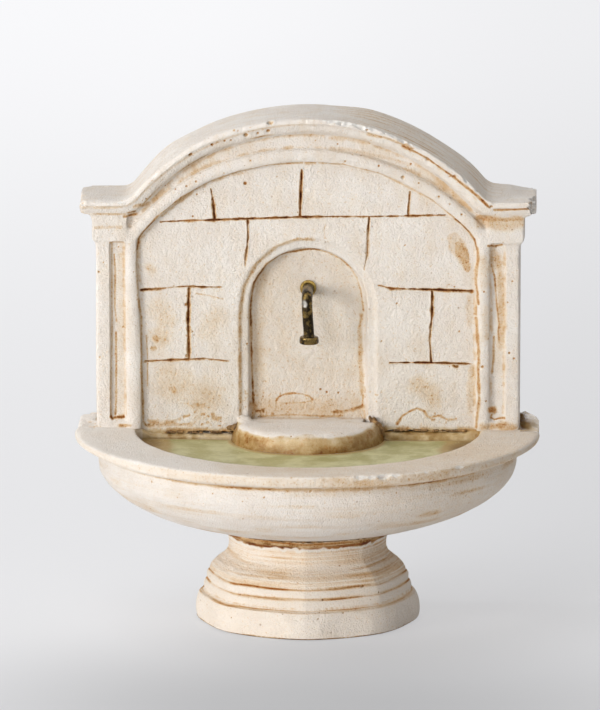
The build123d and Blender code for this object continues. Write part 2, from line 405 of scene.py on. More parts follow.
# Colours of the plaster, and what one coat of each wash lets through
CREAM = (0.800, 0.730, 0.662, 1)
PALE = (0.845, 0.790, 0.735, 1)
DUST = (0.660, 0.585, 0.510, 1)
BARE = (0.870, 0.840, 0.800, 1)
# The foot's plaster: a real tan tone, made lighter than the wall's colours as painted light against the
# bowl's shade over the neck
FOOT_TAN_PAINTED_LIGHT = (0.885, 0.790, 0.690, 1)
FOOT_PALE_PAINTED_LIGHT = (0.905, 0.825, 0.740, 1)
WASH = (0.660, 0.420, 0.210)
DIRT = (0.220, 0.100, 0.025)
RESIN = (0.420, 0.295, 0.125)
PORE = (0.380, 0.220, 0.105, 1)


def plaster(name, streaks, film, combed=False, dull=CREAM, light=PALE):
    """Cast plaster under a brown wash, brushed on and wiped off: it stays in hollows, scores and bubbles.
    Some marks of wash, dirt and resin are painted shade.
    """
    material, tree, shader, place = new_material(name)
    fine, broad = attribute(tree, "fine"), attribute(tree, "broad")
    stain, score = attribute(tree, "stain"), attribute(tree, "score")
    soak, bare = attribute(tree, "soak"), attribute(tree, "bare")
    mottle = cloud(tree, place, (0.16, 0.16, 0.16), 4.0)
    brushed = cloud(tree, place, streaks, 4.0, 0.6, 31.0)
    patches = cloud(tree, place, (0.5, 0.5, 0.5), 4.0, 0.6, 57.0)
    speckle = cloud(tree, place, (2.4, 2.4, 2.4), 3.0, 0.65, 83.0)
    loose = maths(tree, "SUBTRACT", patches, 0.5)

    colour = blend(tree, spread(tree, mottle, 0.35, 0.65), dull, light)
    colour = blend(tree, spread(tree, speckle, 0.50, 0.32, 0.0, 0.22), colour, DUST)
    edge = spread(tree, maths(tree, "MULTIPLY", fine, -1.0), 0.015, 0.09, 0.0, 0.6)
    colour = blend(tree, edge, colour, PALE)

    # Amount of wash: a film in brush strokes, more in hollows, and the stains broken up by the grain; some
    # stains are painted shade
    amount = maths(tree, "MULTIPLY", spread(tree, brushed, 0.44, 0.76), film)
    deep = maths(tree, "ADD", broad, maths(tree, "MULTIPLY", loose, 0.3))
    amount = maths(tree, "ADD", amount, spread(tree, deep, 0.10, 0.50, 0.0, 0.09))
    crease = maths(tree, "ADD", fine, maths(tree, "MULTIPLY", loose, 0.1))
    amount = maths(tree, "ADD", amount, spread(tree, crease, 0.022, 0.085, 0.0, 0.6))
    if combed:
        grain = spread(tree, brushed, 0.38, 0.64, 0.2, 1.7)
    else:
        grain = spread(tree, speckle, 0.3, 0.7, 0.6, 1.4)
    uneven = spread(tree, patches, 0.25, 0.65, 0.60, 1.20)
    stained = maths(tree, "MULTIPLY", maths(tree, "MULTIPLY", stain, grain), uneven)
    amount = maths(tree, "ADD", amount, stained)
    dots = maths(tree, "MULTIPLY", spread(tree, speckle, 0.58, 0.72), maths(tree, "ADD", amount, 0.25))
    amount = maths(tree, "ADD", amount, dots)
    colour = wash_over(tree, colour, WASH, amount)

    dark = maths(tree, "MULTIPLY", score, spread(tree, speckle, 0.30, 0.60, 0.55, 1.15))
    colour = wash_over(tree, colour, DIRT, spread(tree, dark, 0.05, 1.0, 0.0, 0.95))
    colour = wash_over(tree, colour, RESIN, maths(tree, "MULTIPLY", soak, uneven))

    # Pores: tiny dark bubbles in some cells of a fine grid
    cells = add(tree, "TexVoronoi", {"Vector": place, "Scale": 0.62})
    chance = add(tree, "SeparateColor", {"Color": cells.outputs["Color"]})
    reach = spread(tree, chance.outputs[0], 0.80, 1.0, 0.0, 0.13)
    pore = maths(tree, "LESS_THAN", cells.outputs["Distance"], reach)
    colour = blend(tree, maths(tree, "MULTIPLY", pore, 0.5), colour, PORE)
    colour = blend(tree, spread(tree, bare, 0.1, 0.9, 0.0, 0.85), colour, BARE)

    rough = cloud(tree, place, (3.2, 3.2, 3.2), 3.0, 0.7, 12.0)
    lumps = cloud(tree, place, (0.9, 0.9, 0.9), 3.0, 0.6, 44.0)
    height = maths(tree, "ADD", maths(tree, "MULTIPLY", rough, 0.48), maths(tree, "MULTIPLY", lumps, 0.40))
    height = maths(tree, "SUBTRACT", height, maths(tree, "MULTIPLY", pore, 0.10))
    dry = spread(tree, soak, 0.1, 0.6, 0.9, 0.3)
    bump = add(tree, "Bump", {"Height": height, "Strength": dry, "Distance": MM})
    gloss = spread(tree, soak, 0.1, 0.7, 0.82, 0.24)
    dress(tree, shader, Base_Color=colour, Roughness=gloss, Normal=bump.outputs[0], Specular_IOR_Level=0.3)
    return material


# Back wall
def crown_drop(x, h):
    """Depth below the wall's crown, square to it."""
    side = np.abs(x)
    drop = np.maximum(CROWN_FLAT - h, CROWN_RADIUS - np.hypot(x, h - CROWN_CENTRE))
    to_x, to_h = side - EASE_CENTRE[0], h - EASE_CENTRE[1]
    arch_x, arch_h = -EASE_CENTRE[0], CROWN_CENTRE - EASE_CENTRE[1]
    eased = (to_x < 0) & (to_x * arch_h - to_h * arch_x < 0) & (to_h < 0)
    return np.where(eased, np.hypot(to_x, to_h) - EASE_RADIUS, drop)


def crown_top(x):
    """Height of the wall's crown above its foot."""
    side = abs(x)
    if side < EASE_START:
        return CROWN_CENTRE + math.sqrt(CROWN_RADIUS**2 - x**2)
    if side < EASE_CENTRE[0]:
        return EASE_CENTRE[1] - math.sqrt(EASE_RADIUS**2 - (EASE_CENTRE[0] - side) ** 2)
    return CROWN_FLAT


def field_edge(x, h):
    """Signed distance from the frame's inner edge: below zero inside the field."""
    side = np.abs(x)
    away = np.maximum(side - FIELD_HALF_WIDTH, np.hypot(x, h - FIELD_ARCH_CENTRE) - FIELD_ARCH_RADIUS)
    to_x, to_h = side - FIELD_CORNER[0], h - FIELD_CORNER[1]
    lean_h, lean_x = FIELD_CORNER[1] - FIELD_ARCH_CENTRE, FIELD_CORNER[0]
    cornered = (to_x > 0) & (to_h > 0) & (to_x * lean_h - to_h * lean_x > 0)
    return np.where(cornered, np.hypot(to_x, to_h) - FIELD_CORNER_RADIUS, away)


def niche_edge(x, h):
    """Distance from the middle line of the round-headed niche."""
    return np.hypot(x, np.maximum(h - NICHE_SPRING, 0))


# Share of the half width in the table below that the scoring point itself cuts
SCORE_SHARE = 0.82
# Joints scored by hand: distance from the middle, height above the rim, half width, depth and darkness
SCORES = [
    [(-26.8, 37.9, 0.1, 0.2, 0.8), (-22, 38.1, 0.14, 0.25, 0.8), (-17.2, 38.3, 0.18, 0.35, 1),
     (-9, 38.6, 0.12, 0.3, 0.9), (-1.4, 38.9, 0.19, 0.4, 1), (4, 39.0, 0.14, 0.25, 0.6),
     (12, 39.05, 0.12, 0.22, 0.5), (18.3, 39.2, 0.14, 0.3, 0.8), (21, 39.3, 0.16, 0.3, 1),
     (25, 39.4, 0.08, 0.2, 0.6)],
    [(-17.6, 44.0, 0.16, 0.3, 0.7), (-17.2, 42.0, 0.21, 0.4, 0.8), (-16.9, 38.3, 0.21, 0.4, 0.9)],
    [(-1.1, 47.6, 0.16, 0.3, 0.7), (-1.25, 44.0, 0.24, 0.55, 1), (-1.45, 38.9, 0.21, 0.5, 1)],
    [(18.5, 43.6, 0.14, 0.3, 1), (18.35, 41.5, 0.16, 0.3, 0.8), (18.2, 39.2, 0.11, 0.25, 0.6)],
    [(-10.9, 38.2, 0.18, 0.35, 0.55), (-10.85, 35.0, 0.21, 0.4, 0.6), (-11.3, 31.2, 0.19, 0.35, 0.5),
     (-11.4, 29.8, 0.08, 0.15, 0.2)],
    [(11.1, 38.9, 0.18, 0.4, 1), (11.0, 37.2, 0.19, 0.45, 0.9), (10.9, 35.5, 0.22, 0.4, 0.25),
     (10.8, 32.0, 0.22, 0.4, 0.2), (10.2, 29.2, 0.08, 0.15, 0.1)],
    [(-30.4, 25.3, 0.18, 0.3, 1), (-27, 25.5, 0.16, 0.3, 0.9), (-25, 25.8, 0.11, 0.2, 0.3),
     (-22, 26.0, 0.13, 0.25, 0.5), (-19, 25.9, 0.14, 0.3, 0.9), (-15.8, 25.9, 0.1, 0.15, 0.8)],
    [(12.8, 26.4, 0.06, 0.1, 0.5), (15.2, 25.75, 0.18, 0.3, 1), (19, 25.7, 0.13, 0.25, 0.7),
     (23, 25.6, 0.24, 0.45, 1), (29.8, 25.35, 0.19, 0.4, 1)],
    [(-21.6, 25.6, 0.22, 0.4, 0.6), (-21.7, 22.5, 0.24, 0.5, 1), (-21.8, 19.5, 0.26, 0.5, 1),
     (-21.7, 16.5, 0.24, 0.4, 0.5), (-21.6, 12.7, 0.21, 0.4, 0.7)],
    [(22.6, 25.3, 0.22, 0.4, 0.9), (22.55, 20.2, 0.24, 0.45, 1), (22.3, 18.5, 0.16, 0.35, 0.35),
     (22.2, 16, 0.16, 0.3, 0.4), (22.45, 12.3, 0.21, 0.4, 0.9)],
    [(-29.6, 12.1, 0.19, 0.3, 0.5), (-25, 12.3, 0.21, 0.35, 0.7), (-21.6, 12.5, 0.19, 0.35, 0.9),
     (-18.5, 12.6, 0.14, 0.25, 0.6), (-14.4, 12.2, 0.08, 0.12, 0.4)],
    [(14.9, 12.0, 0.14, 0.3, 0.8), (20, 12.1, 0.18, 0.35, 1), (26.5, 12.0, 0.18, 0.3, 0.9),
     (29.7, 11.9, 0.11, 0.2, 0.6)],
    [(3.2, 37.6, 0.05, 0.05, 0.2), (2.9, 36.4, 0.08, 0.1, 0.3), (3.1, 35.0, 0.05, 0.05, 0.1)],
]
# Lines and patches of wash, one of them painted shade on the niche's surround: half width, wash, dirt, and
# the line's distances from the middle and heights above the rim
WASH_LINES = [
    # Edge of the block field, from its crown down the left side
    (0.12, 0.6, 0.2, [(-1, 48.9), (-7, 48.6), (-12.6, 47.3), (-17.9, 45.3), (-22.8, 42.7), (-27.2, 39.1)]),
    (0.16, 0.9, 0.5, [(-27.2, 39.1), (-29.9, 36.1), (-30.7, 34.9), (-31, 32.8)]),
    (0.16, 0.35, 0.12, [(-31, 33), (-31.1, 29), (-30.9, 25.6), (-30.8, 23.8)]),
    (0.16, 0.65, 0.25, [(-30.8, 23.8), (-30.3, 20), (-30.3, 14.4), (-30.3, 9.9), (-30.1, 5), (-30, 0.9)]),
    (0.12, 0.6, 0, [(-29.4, 16.8), (-29.2, 13.2), (-29.2, 7.6)]),
    # Left pilaster
    (0.14, 0.4, 0.15, [(-35.6, 34.2), (-35.6, 18.9), (-35.9, 6.6), (-35.9, 1.8)]),
    (0.14, 0.7, 0.15, [(-35.2, 31.9), (-35, 29), (-35.1, 22.2), (-34.8, 19.5)]),
    (0.15, 0.9, 0.2, [(-34.9, 17.5), (-34.9, 6.5), (-35.1, 2.2)]),
    (0.20, 1.3, 0.5, [(-35.9, 1.9), (-35.6, 1.5), (-35.2, 1.7), (-33.6, 1.8)]),
    (0.12, 0.5, 0.1, [(-35.9, 34.2), (-33.5, 34.2)]),
    (0.55, 0.14, 0, [(-34, 31.6), (-34, 3.1)]),
    (0.30, 1.2, 0.3, [(-33.3, 39.1), (-31.1, 39.4)]),
    (0.20, 0.6, 0.9, [(-32.6, 39.8), (-31.3, 40.1)]),
    (0.35, 0.6, 0, [(-31.3, 41.1), (-29, 41.4)]),
    (0.20, 0.2, 0, [(-38.5, 37), (-33.8, 37.2)]),
    (0.18, 0.25, 0, [(-41, 40.8), (-36, 40.9), (-33.6, 41)]),
    # Blocks on the left
    (2.60, 0.22, 0, [(-25.7, 8.5), (-22.4, 7), (-19.1, 4.7)]),
    (0.50, 0.5, 0, [(-25, 7), (-24.4, 6.6)]),
    (0.60, 0.5, 0, [(-20.6, 3.8), (-19.3, 3.9)]),
    (1.80, 0.22, 0, [(-27.4, 22), (-25.6, 18.9), (-26.5, 16.6)]),
    (0.45, 0.65, 0, [(-27.7, 16.4), (-27.5, 15.9)]),
    (0.40, 0.6, 0, [(-28.2, 14.4), (-27.9, 14.5)]),
    (0.35, 0.45, 0, [(-25.6, 17.7), (-26, 16)]),
    (1.60, 0.2, 0, [(-16.8, 20.3), (-18.4, 17.6)]),
    (0.70, 0.3, 0, [(-28.9, 29.6), (-28.2, 28.9)]),
    (0.16, 0.75, 0, [(-29.2, 1.1), (-27, 0.6), (-24.4, 0.9), (-22.8, 1.6), (-21.6, 2.1)]),
    (0.22, 1.2, 0.2, [(-34.2, 0.3), (-32.3, 0.3)]),
    (0.30, 0.8, 0.8, [(-30, 0.9), (-29.5, 0.2), (-28.1, 0.2)]),
    (0.25, 0.5, 0.1, [(-29.2, 0.3), (-25.7, 0.3), (-21.3, 0.4)]),
    (0.35, 0.8, 0.1, [(-17.4, 2.3), (-17.1, 1.6), (-16, 1.6)]),
    (0.10, 0.35, 0, [(-20.3, 24.7), (-17.9, 24.3), (-15.5, 23.7)]),
    # Niche
    (0.20, 0.8, 0.6, [(-10, 3.5), (-10.3, 12.9), (-10.5, 22.3), (-9.8, 26.5), (-7.6, 30), (-4.6, 31.8)]),
    (0.16, 1.0, 0.4, [(-4.6, 31.8), (-0.5, 32.5), (1.1, 32.6), (2.1, 32.4)]),
    (0.15, 0.6, 0, [(2.1, 32.4), (4, 31.8), (6, 30.8), (7.6, 29.3), (8.8, 27.4), (9.5, 25.3), (10.1, 21.2)]),
    (0.35, 0.6, 0, [(9.7, 20.3), (9.4, 18.3), (9.5, 14), (9.8, 5.5)]),
    # Painted shade: wash and dirt down the surround's outer step on the left and over the arch, where the
    # field's edge shades the ledge
    (0.28, 0.5, 0.2, [(-12.3, 2), (-12.4, 20.6), (-11.6, 26), (-9.2, 30.4), (-5.5, 33.5), (-1.9, 34.8),
                      (1, 34.7)]),
    (1.20, 0.18, 0, [(-8.4, 27.2), (-9.1, 22.3), (-9.1, 12), (-8.9, 4)]),
    (0.13, 0.95, 0, [(-5.9, 4.3), (-5.4, 5.1), (-4.3, 5.6), (-2.6, 5.8), (-1, 5.6), (0.2, 5.2), (0.8, 4.6)]),
    (0.12, 0.5, 0, [(-5.2, 4), (-3.1, 3.9), (-1.2, 4), (0.6, 4.4)]),
    (0.10, 0.5, 0, [(-5.9, 4.3), (-5.9, 2.8)]),
    (0.50, 0.9, 0.6, [(-10.1, 3.7), (-9.5, 2.4), (-8.3, 2.5)]),
    (0.35, 1.1, 0.35, [(4.7, 2.3), (6.2, 2.4), (8.1, 2.8), (9.9, 3.5)]),
    (0.22, 0.8, 0, [(9.9, 3.5), (10, 5.5)]),
    (0.18, 0.7, 0.1, [(-9.1, 1.4), (-6.4, 1.6), (-3.3, 1.8), (-0.3, 1.7), (3.7, 1.5), (6.2, 1.6)]),
    (1.60, 0.32, 0, [(-8.5, 2.8), (-3.8, 2.6), (0.9, 2.6), (5.5, 3.1), (8.5, 3.8)]),
    # Edge of the block field down the right side
    (0.15, 0.5, 0, [(2, 48.9), (6.3, 48.8), (12.8, 47.2), (17.9, 44.6), (22.5, 42.3), (26.5, 39)]),
    (0.17, 1.1, 0.55, [(26.7, 38.7), (28.1, 37.6), (29.2, 36.4), (30.2, 35), (30.7, 33.1)]),
    (0.22, 1.0, 0.1, [(30.8, 33.5), (30.9, 31.7), (30.6, 29), (30.5, 27.5), (30.7, 25.5), (31, 23.2)]),
    (0.24, 1.1, 0.1, [(30.6, 20.3), (31, 15.4), (31.1, 12.9), (31, 11.1), (31.2, 5.7), (30.7, 1.2),
                      (30.7, 0.3)]),
    # Cornice on the right
    (0.18, 1.2, 0.25, [(17.2, 52.5), (19.7, 51.3), (22, 50), (26.2, 47), (30.6, 43.6), (32.9, 41.3)]),
    (0.40, 1.0, 0.2, [(17.3, 52.6), (18.6, 51.9)]),
    (0.25, 0.5, 0, [(11, 54.6), (14, 54), (17, 52.9)]),
    (0.35, 0.35, 0, [(4, 53.5), (7.5, 53.4), (11, 52.7)]),
    (0.30, 0.3, 0, [(4, 51.6), (7.5, 51.3), (11.6, 50.5), (15.1, 49.7), (18.3, 48.7)]),
    (0.17, 1.1, 0.1, [(33.8, 40.8), (36.8, 40.9), (40.3, 41.1)]),
    (0.45, 0.85, 0.05, [(30.9, 39.1), (32.9, 38.9), (35.9, 38.8), (38.7, 39)]),
    (0.90, 0.4, 0, [(31.5, 38.4), (33.2, 37.9), (35.9, 37.9), (38.7, 38.2)]),
    (0.40, 0.4, 0.1, [(30.6, 39.2), (31.2, 38.4)]),
    # Blocks on the right
    (0.16, 0.9, 0, [(16.3, 0.6), (17.2, 2.2), (18.5, 3), (19.9, 3.6), (21.2, 3.1), (21.7, 2.2), (22.3, 1.9)]),
    (0.16, 0.8, 0, [(22.3, 1.9), (23.8, 2.3), (24.7, 1.9), (25.6, 1.4), (27.1, 1.7)]),
    (1.40, 0.3, 0, [(20.3, 7.9), (22.1, 6.5), (23.2, 5)]),
    (0.60, 0.35, 0, [(30, 11.3), (29.7, 7.9), (29.6, 3)]),
    (0.50, 0.25, 0, [(29.3, 24.1), (29.4, 19.1)]),
    (0.25, 0.9, 0.7, [(26.4, 11.6), (26.9, 11.3), (27.2, 11.4)]),
    # Right pilaster
    (0.20, 1.3, 0.4, [(32.7, 34), (33.8, 33.7), (35.2, 34)]),
    (0.70, 0.4, 0, [(33.7, 33.3), (33.4, 31.5), (33.4, 29.5)]),
    (0.55, 0.55, 0, [(33.6, 33.5), (34.3, 31.9), (34.8, 29.3), (35.2, 22.6), (35.3, 19.2), (35, 15.2)]),
    (0.14, 1.0, 0.2, [(33.3, 30.4), (33.9, 28.2), (34.3, 23.2), (34.8, 19.4), (34.6, 17.9), (34.8, 15.8)]),
    (0.16, 0.8, 0.15, [(33.8, 17), (33.8, 13.4), (33.5, 10.2)]),
    (0.70, 0.25, 0, [(32.1, 31.6), (32, 26.9)]),
    (0.70, 0.25, 0, [(32.4, 22.5), (32.3, 17.1)]),
    (0.30, 0.8, 0.1, [(32.6, 17.7), (32.5, 16.9)]),
    (0.16, 1.2, 0.2, [(33.5, 2.6), (33.3, 2), (34, 1.7), (34.9, 1.9), (35.8, 2)]),
    (0.45, 1.9, 0, [(33.4, 3.5), (33.7, 3.4)]),
    (0.70, 0.8, 0, [(31.8, 0.5), (34.7, 0.6), (37.5, 0.3)]),
]
# Drips of wash with a firm edge: distance from the middle, height above the rim, half width and wash
DRIPS = [
    [(26.4, 35.2, 1.0, 0.2), (27.0, 33.8, 1.6, 0.25), (28.1, 31.8, 1.2, 0.3), (28.9, 29.6, 0.7, 0.3)],
    [(27.4, 33.9, 0.6, 0.6), (27.8, 32.8, 1.15, 0.8), (28.6, 30.9, 0.75, 0.65), (29.0, 29.2, 0.5, 0.65)],
]
# Larger bubbles of the casting: distance from the middle, height above the rim and radius
BUBBLES = [
    (-21.1, 50.5, 0.34), (-17.2, 52.3, 0.26), (-15, 53, 0.18), (-13.8, 53.1, 0.18), (-11.1, 54.1, 0.34),
    (-8.9, 54.5, 0.22), (-7.1, 54.9, 0.3), (-13.4, 55.5, 0.2), (-6.9, 57, 0.5), (-10.4, 49.7, 0.16),
    (-20.4, 45.4, 0.2), (-22.1, 44.7, 0.2), (-24.2, 44.2, 0.14), (-29.1, 42.3, 0.16), (-11.5, 44.9, 0.3),
    (-20.3, 43.1, 0.18), (-15.3, 46.3, 0.18), (-22.3, 22.5, 0.3), (-22, 24.5, 0.14), (-22, 16.8, 0.14),
    (-22.1, 13.3, 0.24), (-20.8, 17.5, 0.14), (-38.2, 28.7, 0.16), (36.5, 14, 0.2), (37.4, 13, 0.2),
    (31.6, 11.8, 0.24), (32.1, 25.4, 0.16), (37, 27.2, 0.14), (36.1, 23.7, 0.14), (33.1, 16.9, 0.16),
    (34.2, 33.4, 0.18), (32.7, 5.3, 0.14), (27.5, 18.1, 0.15), (26.5, 26.3, 0.14), (12.9, 48.8, 0.2),
    (6.6, 49.3, 0.18), (5.5, 52.6, 0.14), (17.3, 46.8, 0.28), (18.4, 48.7, 0.18), (20.1, 45.7, 0.16),
    (23.9, 43.2, 0.2), (26, 41.6, 0.14), (28.1, 39.8, 0.18), (21.5, 50, 0.38), (26.4, 46.7, 0.38),
    (33.4, 41.3, 0.26), (31.1, 44.8, 0.22), (10.6, 55.4, 0.22), (-10.9, 15.4, 0.2), (2.3, 6.3, 0.2),
    (3.4, 6.2, 0.2), (5.6, 6.1, 0.2), (-8.4, 5.3, 0.14),
]
# Broken places along the crown's front edge: distance from the middle, radius and depth
CROWN_CHIPS = [
    (4.5, 2.4, 0.6), (6.8, 2.2, 0.8), (9.2, 2.4, 0.75), (11.5, 1.8, 0.55), (15.0, 1.7, 0.6),
    (17.4, 1.9, 0.7), (18.6, 1.2, 0.5), (20.0, 1.5, 0.4), (23.0, 1.2, 0.35), (24.6, 1.0, 0.35),
    (26.0, 1.3, 0.35), (29.0, 1.2, 0.35), (31.0, 1.2, 0.4), (-7.0, 1.1, 0.4), (-26.4, 1.4, 0.5),
    (-28.2, 1.6, 0.7), (-30.0, 1.5, 0.6), (-33.0, 1.6, 0.5),
]
# A drop of amber resin low on the right pilaster: place and radii
AMBER_DROP = [((33.55, 1.0, 38.5), (0.6, 0.7, 0.55))]
# Other broken corners of the wall: place, direction, radius and depth
WALL_CHIPS = [
    ((41.4, -1.8, 76.4), (1.0, -0.7, -0.2), 3.4, 1.5), ((41.4, 3.0, 77.4), (1, -0.2, 0.8), 4.0, 1.0),
    ((41.4, 1.0, 74.6), (1, -0.4, -0.8), 2.6, 1.0),
    ((41.4, 14.0, 77.3), (1, 1, 0.5), 3.5, 1.2), ((-41.4, -1.8, 77.2), (-1, -0.8, 0.5), 3.4, 1.3),
    ((-41.4, 14.0, 77.3), (-1, 0.8, 0.6), 3.5, 1.2), ((-41.4, -1.2, 74.7), (-1, -0.4, -0.8), 2.8, 1.1),
    ((39.3, -0.4, 69.8), (1, -0.6, -0.4), 1.8, 0.5), ((38.6, 0.0, 55.0), (1, -1, 0), 1.6, 0.25),
    ((-38.6, 0.0, 60.0), (-1, -1, 0), 2.2, 0.3),
]


def left_sink(x):
    """How much lower the joint along the wall's foot lies on its left side."""
    return 0.5 * ramp(x, -8, -13)


def shape_wall(wall):
    """Gives the wall its hand-made unevenness and worn mouldings."""
    x, y, z = wall.points.T
    h = z - WALL_FOOT
    frame_gap, niche_gap, drop = field_edge(x, h), niche_edge(x, h), crown_drop(x, h)
    field = (frame_gap < -0.45) & (niche_gap > SURROUND_RADIUS + 0.4)
    field &= (y > FIELD_FACE - 0.1) & (y < FIELD_FACE + 0.5)
    wall.points[field, 1] = FIELD_FACE

    # The left haunch is fuller than the right, and the left jamb leans in towards its foot
    wall.points[:, 2] += 0.45 * bell(x, -20, 8) * ramp(h, 32, 42)
    lean = 0.5 * ramp(h, 24, 12) - 0.35 * ramp(h, 22, 30) * ramp(h, 37, 33)
    wall.points[:, 0] += lean * bell(x, -30.6, 2.0) * (y < 4)

    # The top's back edge is uneven: it stands higher on the right and over the left shoulder
    rise = 0.55 * ramp(x, 4, 12) * ramp(x, 40, 36) + 0.5 * bell(x, 30, 4) + 0.8 * bell(x, -26.5, 4)
    wall.points[:, 2] += rise * ramp(y, 2, 10) * ramp(drop, 4, 0.5)

    front = ramp(y, 5, 3)
    mouldings = front * ramp(drop, 2.3, 3.2) * ramp(frame_gap, -0.2, 0.5) * ramp(h, 30, 34)
    wall.soften(0.9 * mouldings, 9)
    wall.soften(ramp(x, 3, -4) * bell(drop, 0, 1.6) * ramp(y, 4, 0), 60)
    wall.soften(ramp(np.abs(x), 36.8, 38.0) * ramp(y, 3, 1) * ramp(h, 36, 33), 22)
    wall.soften(0.8 * ramp(x, -33, -37) * ramp(h, 36, 38) * ramp(y, 8, 4), 24)
    wall.soften(0.8 * front * bell(niche_gap, 11.6, 1.4), 5)

    uneven = 0.10 * wall.noise(9.0, 1) + 0.05 * wall.noise(3.2, 2)
    uneven += 0.03 * wall.noise(1.1, 3) + 0.015 * wall.noise(0.55, 15)
    wall.push(np.where(y > BACK - 0.6, 0.0, uneven - 0.1))

    # The wall's foot meets the rim but for an open joint on each side of the step
    closed = ramp(np.abs(np.abs(x) - 18), 2.5, 5.0)
    over_pool = ramp(np.abs(x), 31, 28)
    sunk = (0.55 + left_sink(x)) * over_pool
    wall.points[:, 2] -= (0.18 + 0.55 * closed + sunk) * ramp(h, 3.0, 0.0) * (y < 3.6)


def score_wall(wall, front, flat):
    """Cuts the scored joints and returns their dirt and the wash along them."""
    wobble = 0.09 * wall.noise(1.0, 4) + 0.05 * wall.noise(0.45, 17)
    swell = 1 + 0.5 * wall.noise(1.9, 5)
    broken = 0.3 + 0.7 * ramp(wall.noise(1.5, 6), -0.5, 0.3)
    depth, burr, score, stain = np.zeros((4, len(flat)))
    for line in SCORES:
        spots, away, values = trace_front(front, flat, line, 1.2)
        width, deep, dark = values.T
        part = (away + wobble[spots]) / (SCORE_SHARE * width * swell[spots])
        raise_to(depth, spots, deep * np.clip(1.15 - part * part, 0, 1))
        raise_to(burr, spots, 0.08 * bell(part, 2.2, 0.7) * ramp(dark, 0.1, 0.7))
        raise_to(score, spots, dark * broken[spots] * ramp(part, 1.2, 0.4))
        raise_to(stain, spots, (0.1 + dark) * ramp(part, 2.3, 0.9))
    wall.points[:, 1] += depth - np.where(depth > 0.02, 0, burr)
    return score, stain


def wash_wall(wall, front, flat, score, stain):
    """Lays the lines and patches of wash over the scored joints."""
    wobble, swell = wall.noise(0.9, 7), 1 + 0.35 * wall.noise(1.8, 8)
    patchy = 0.78 + 0.34 * wall.noise(2.3, 9)
    broken = ramp(wall.noise(1.6, 10), -0.75, 0.15)
    for half, wash, dirt, line in WASH_LINES:
        spots, away, _ = trace_front(front, flat, line, 2.4 * half + 0.3)
        part = (away + 0.4 * min(half, 0.5) * wobble[spots]) / (half * swell[spots])
        thick = wash * (1.3 if half < 0.3 else 1.0)
        raise_to(stain, spots, thick * patchy[spots] * ramp(part, 1.8, 0.2))
        raise_to(score, spots, dirt * broken[spots] * ramp(part, 1.15, 0.2))
    for line in DRIPS:
        spots, away, values = trace_front(front, flat, line, 2.2)
        half, wash = values.T
        part = (away + 0.2 * wobble[spots]) / half
        firm = 0.8 + 0.35 * bell(part, 0.9, 0.2)
        raise_to(stain, spots, wash * ramp(part, 1.1, 0.9) * firm)
    return score, stain


def wall_point(wall, x, above):
    """The wall's foremost point at a distance from the middle and a height above the rim."""
    away = np.hypot(wall.points[:, 0] - x, wall.points[:, 2] - RIM_TOP - above)
    away[wall.points[:, 1] > 5] = np.inf
    close = np.flatnonzero(away < away.min() + 0.2)
    return wall.points[close[np.argmin(wall.points[close, 1])]]


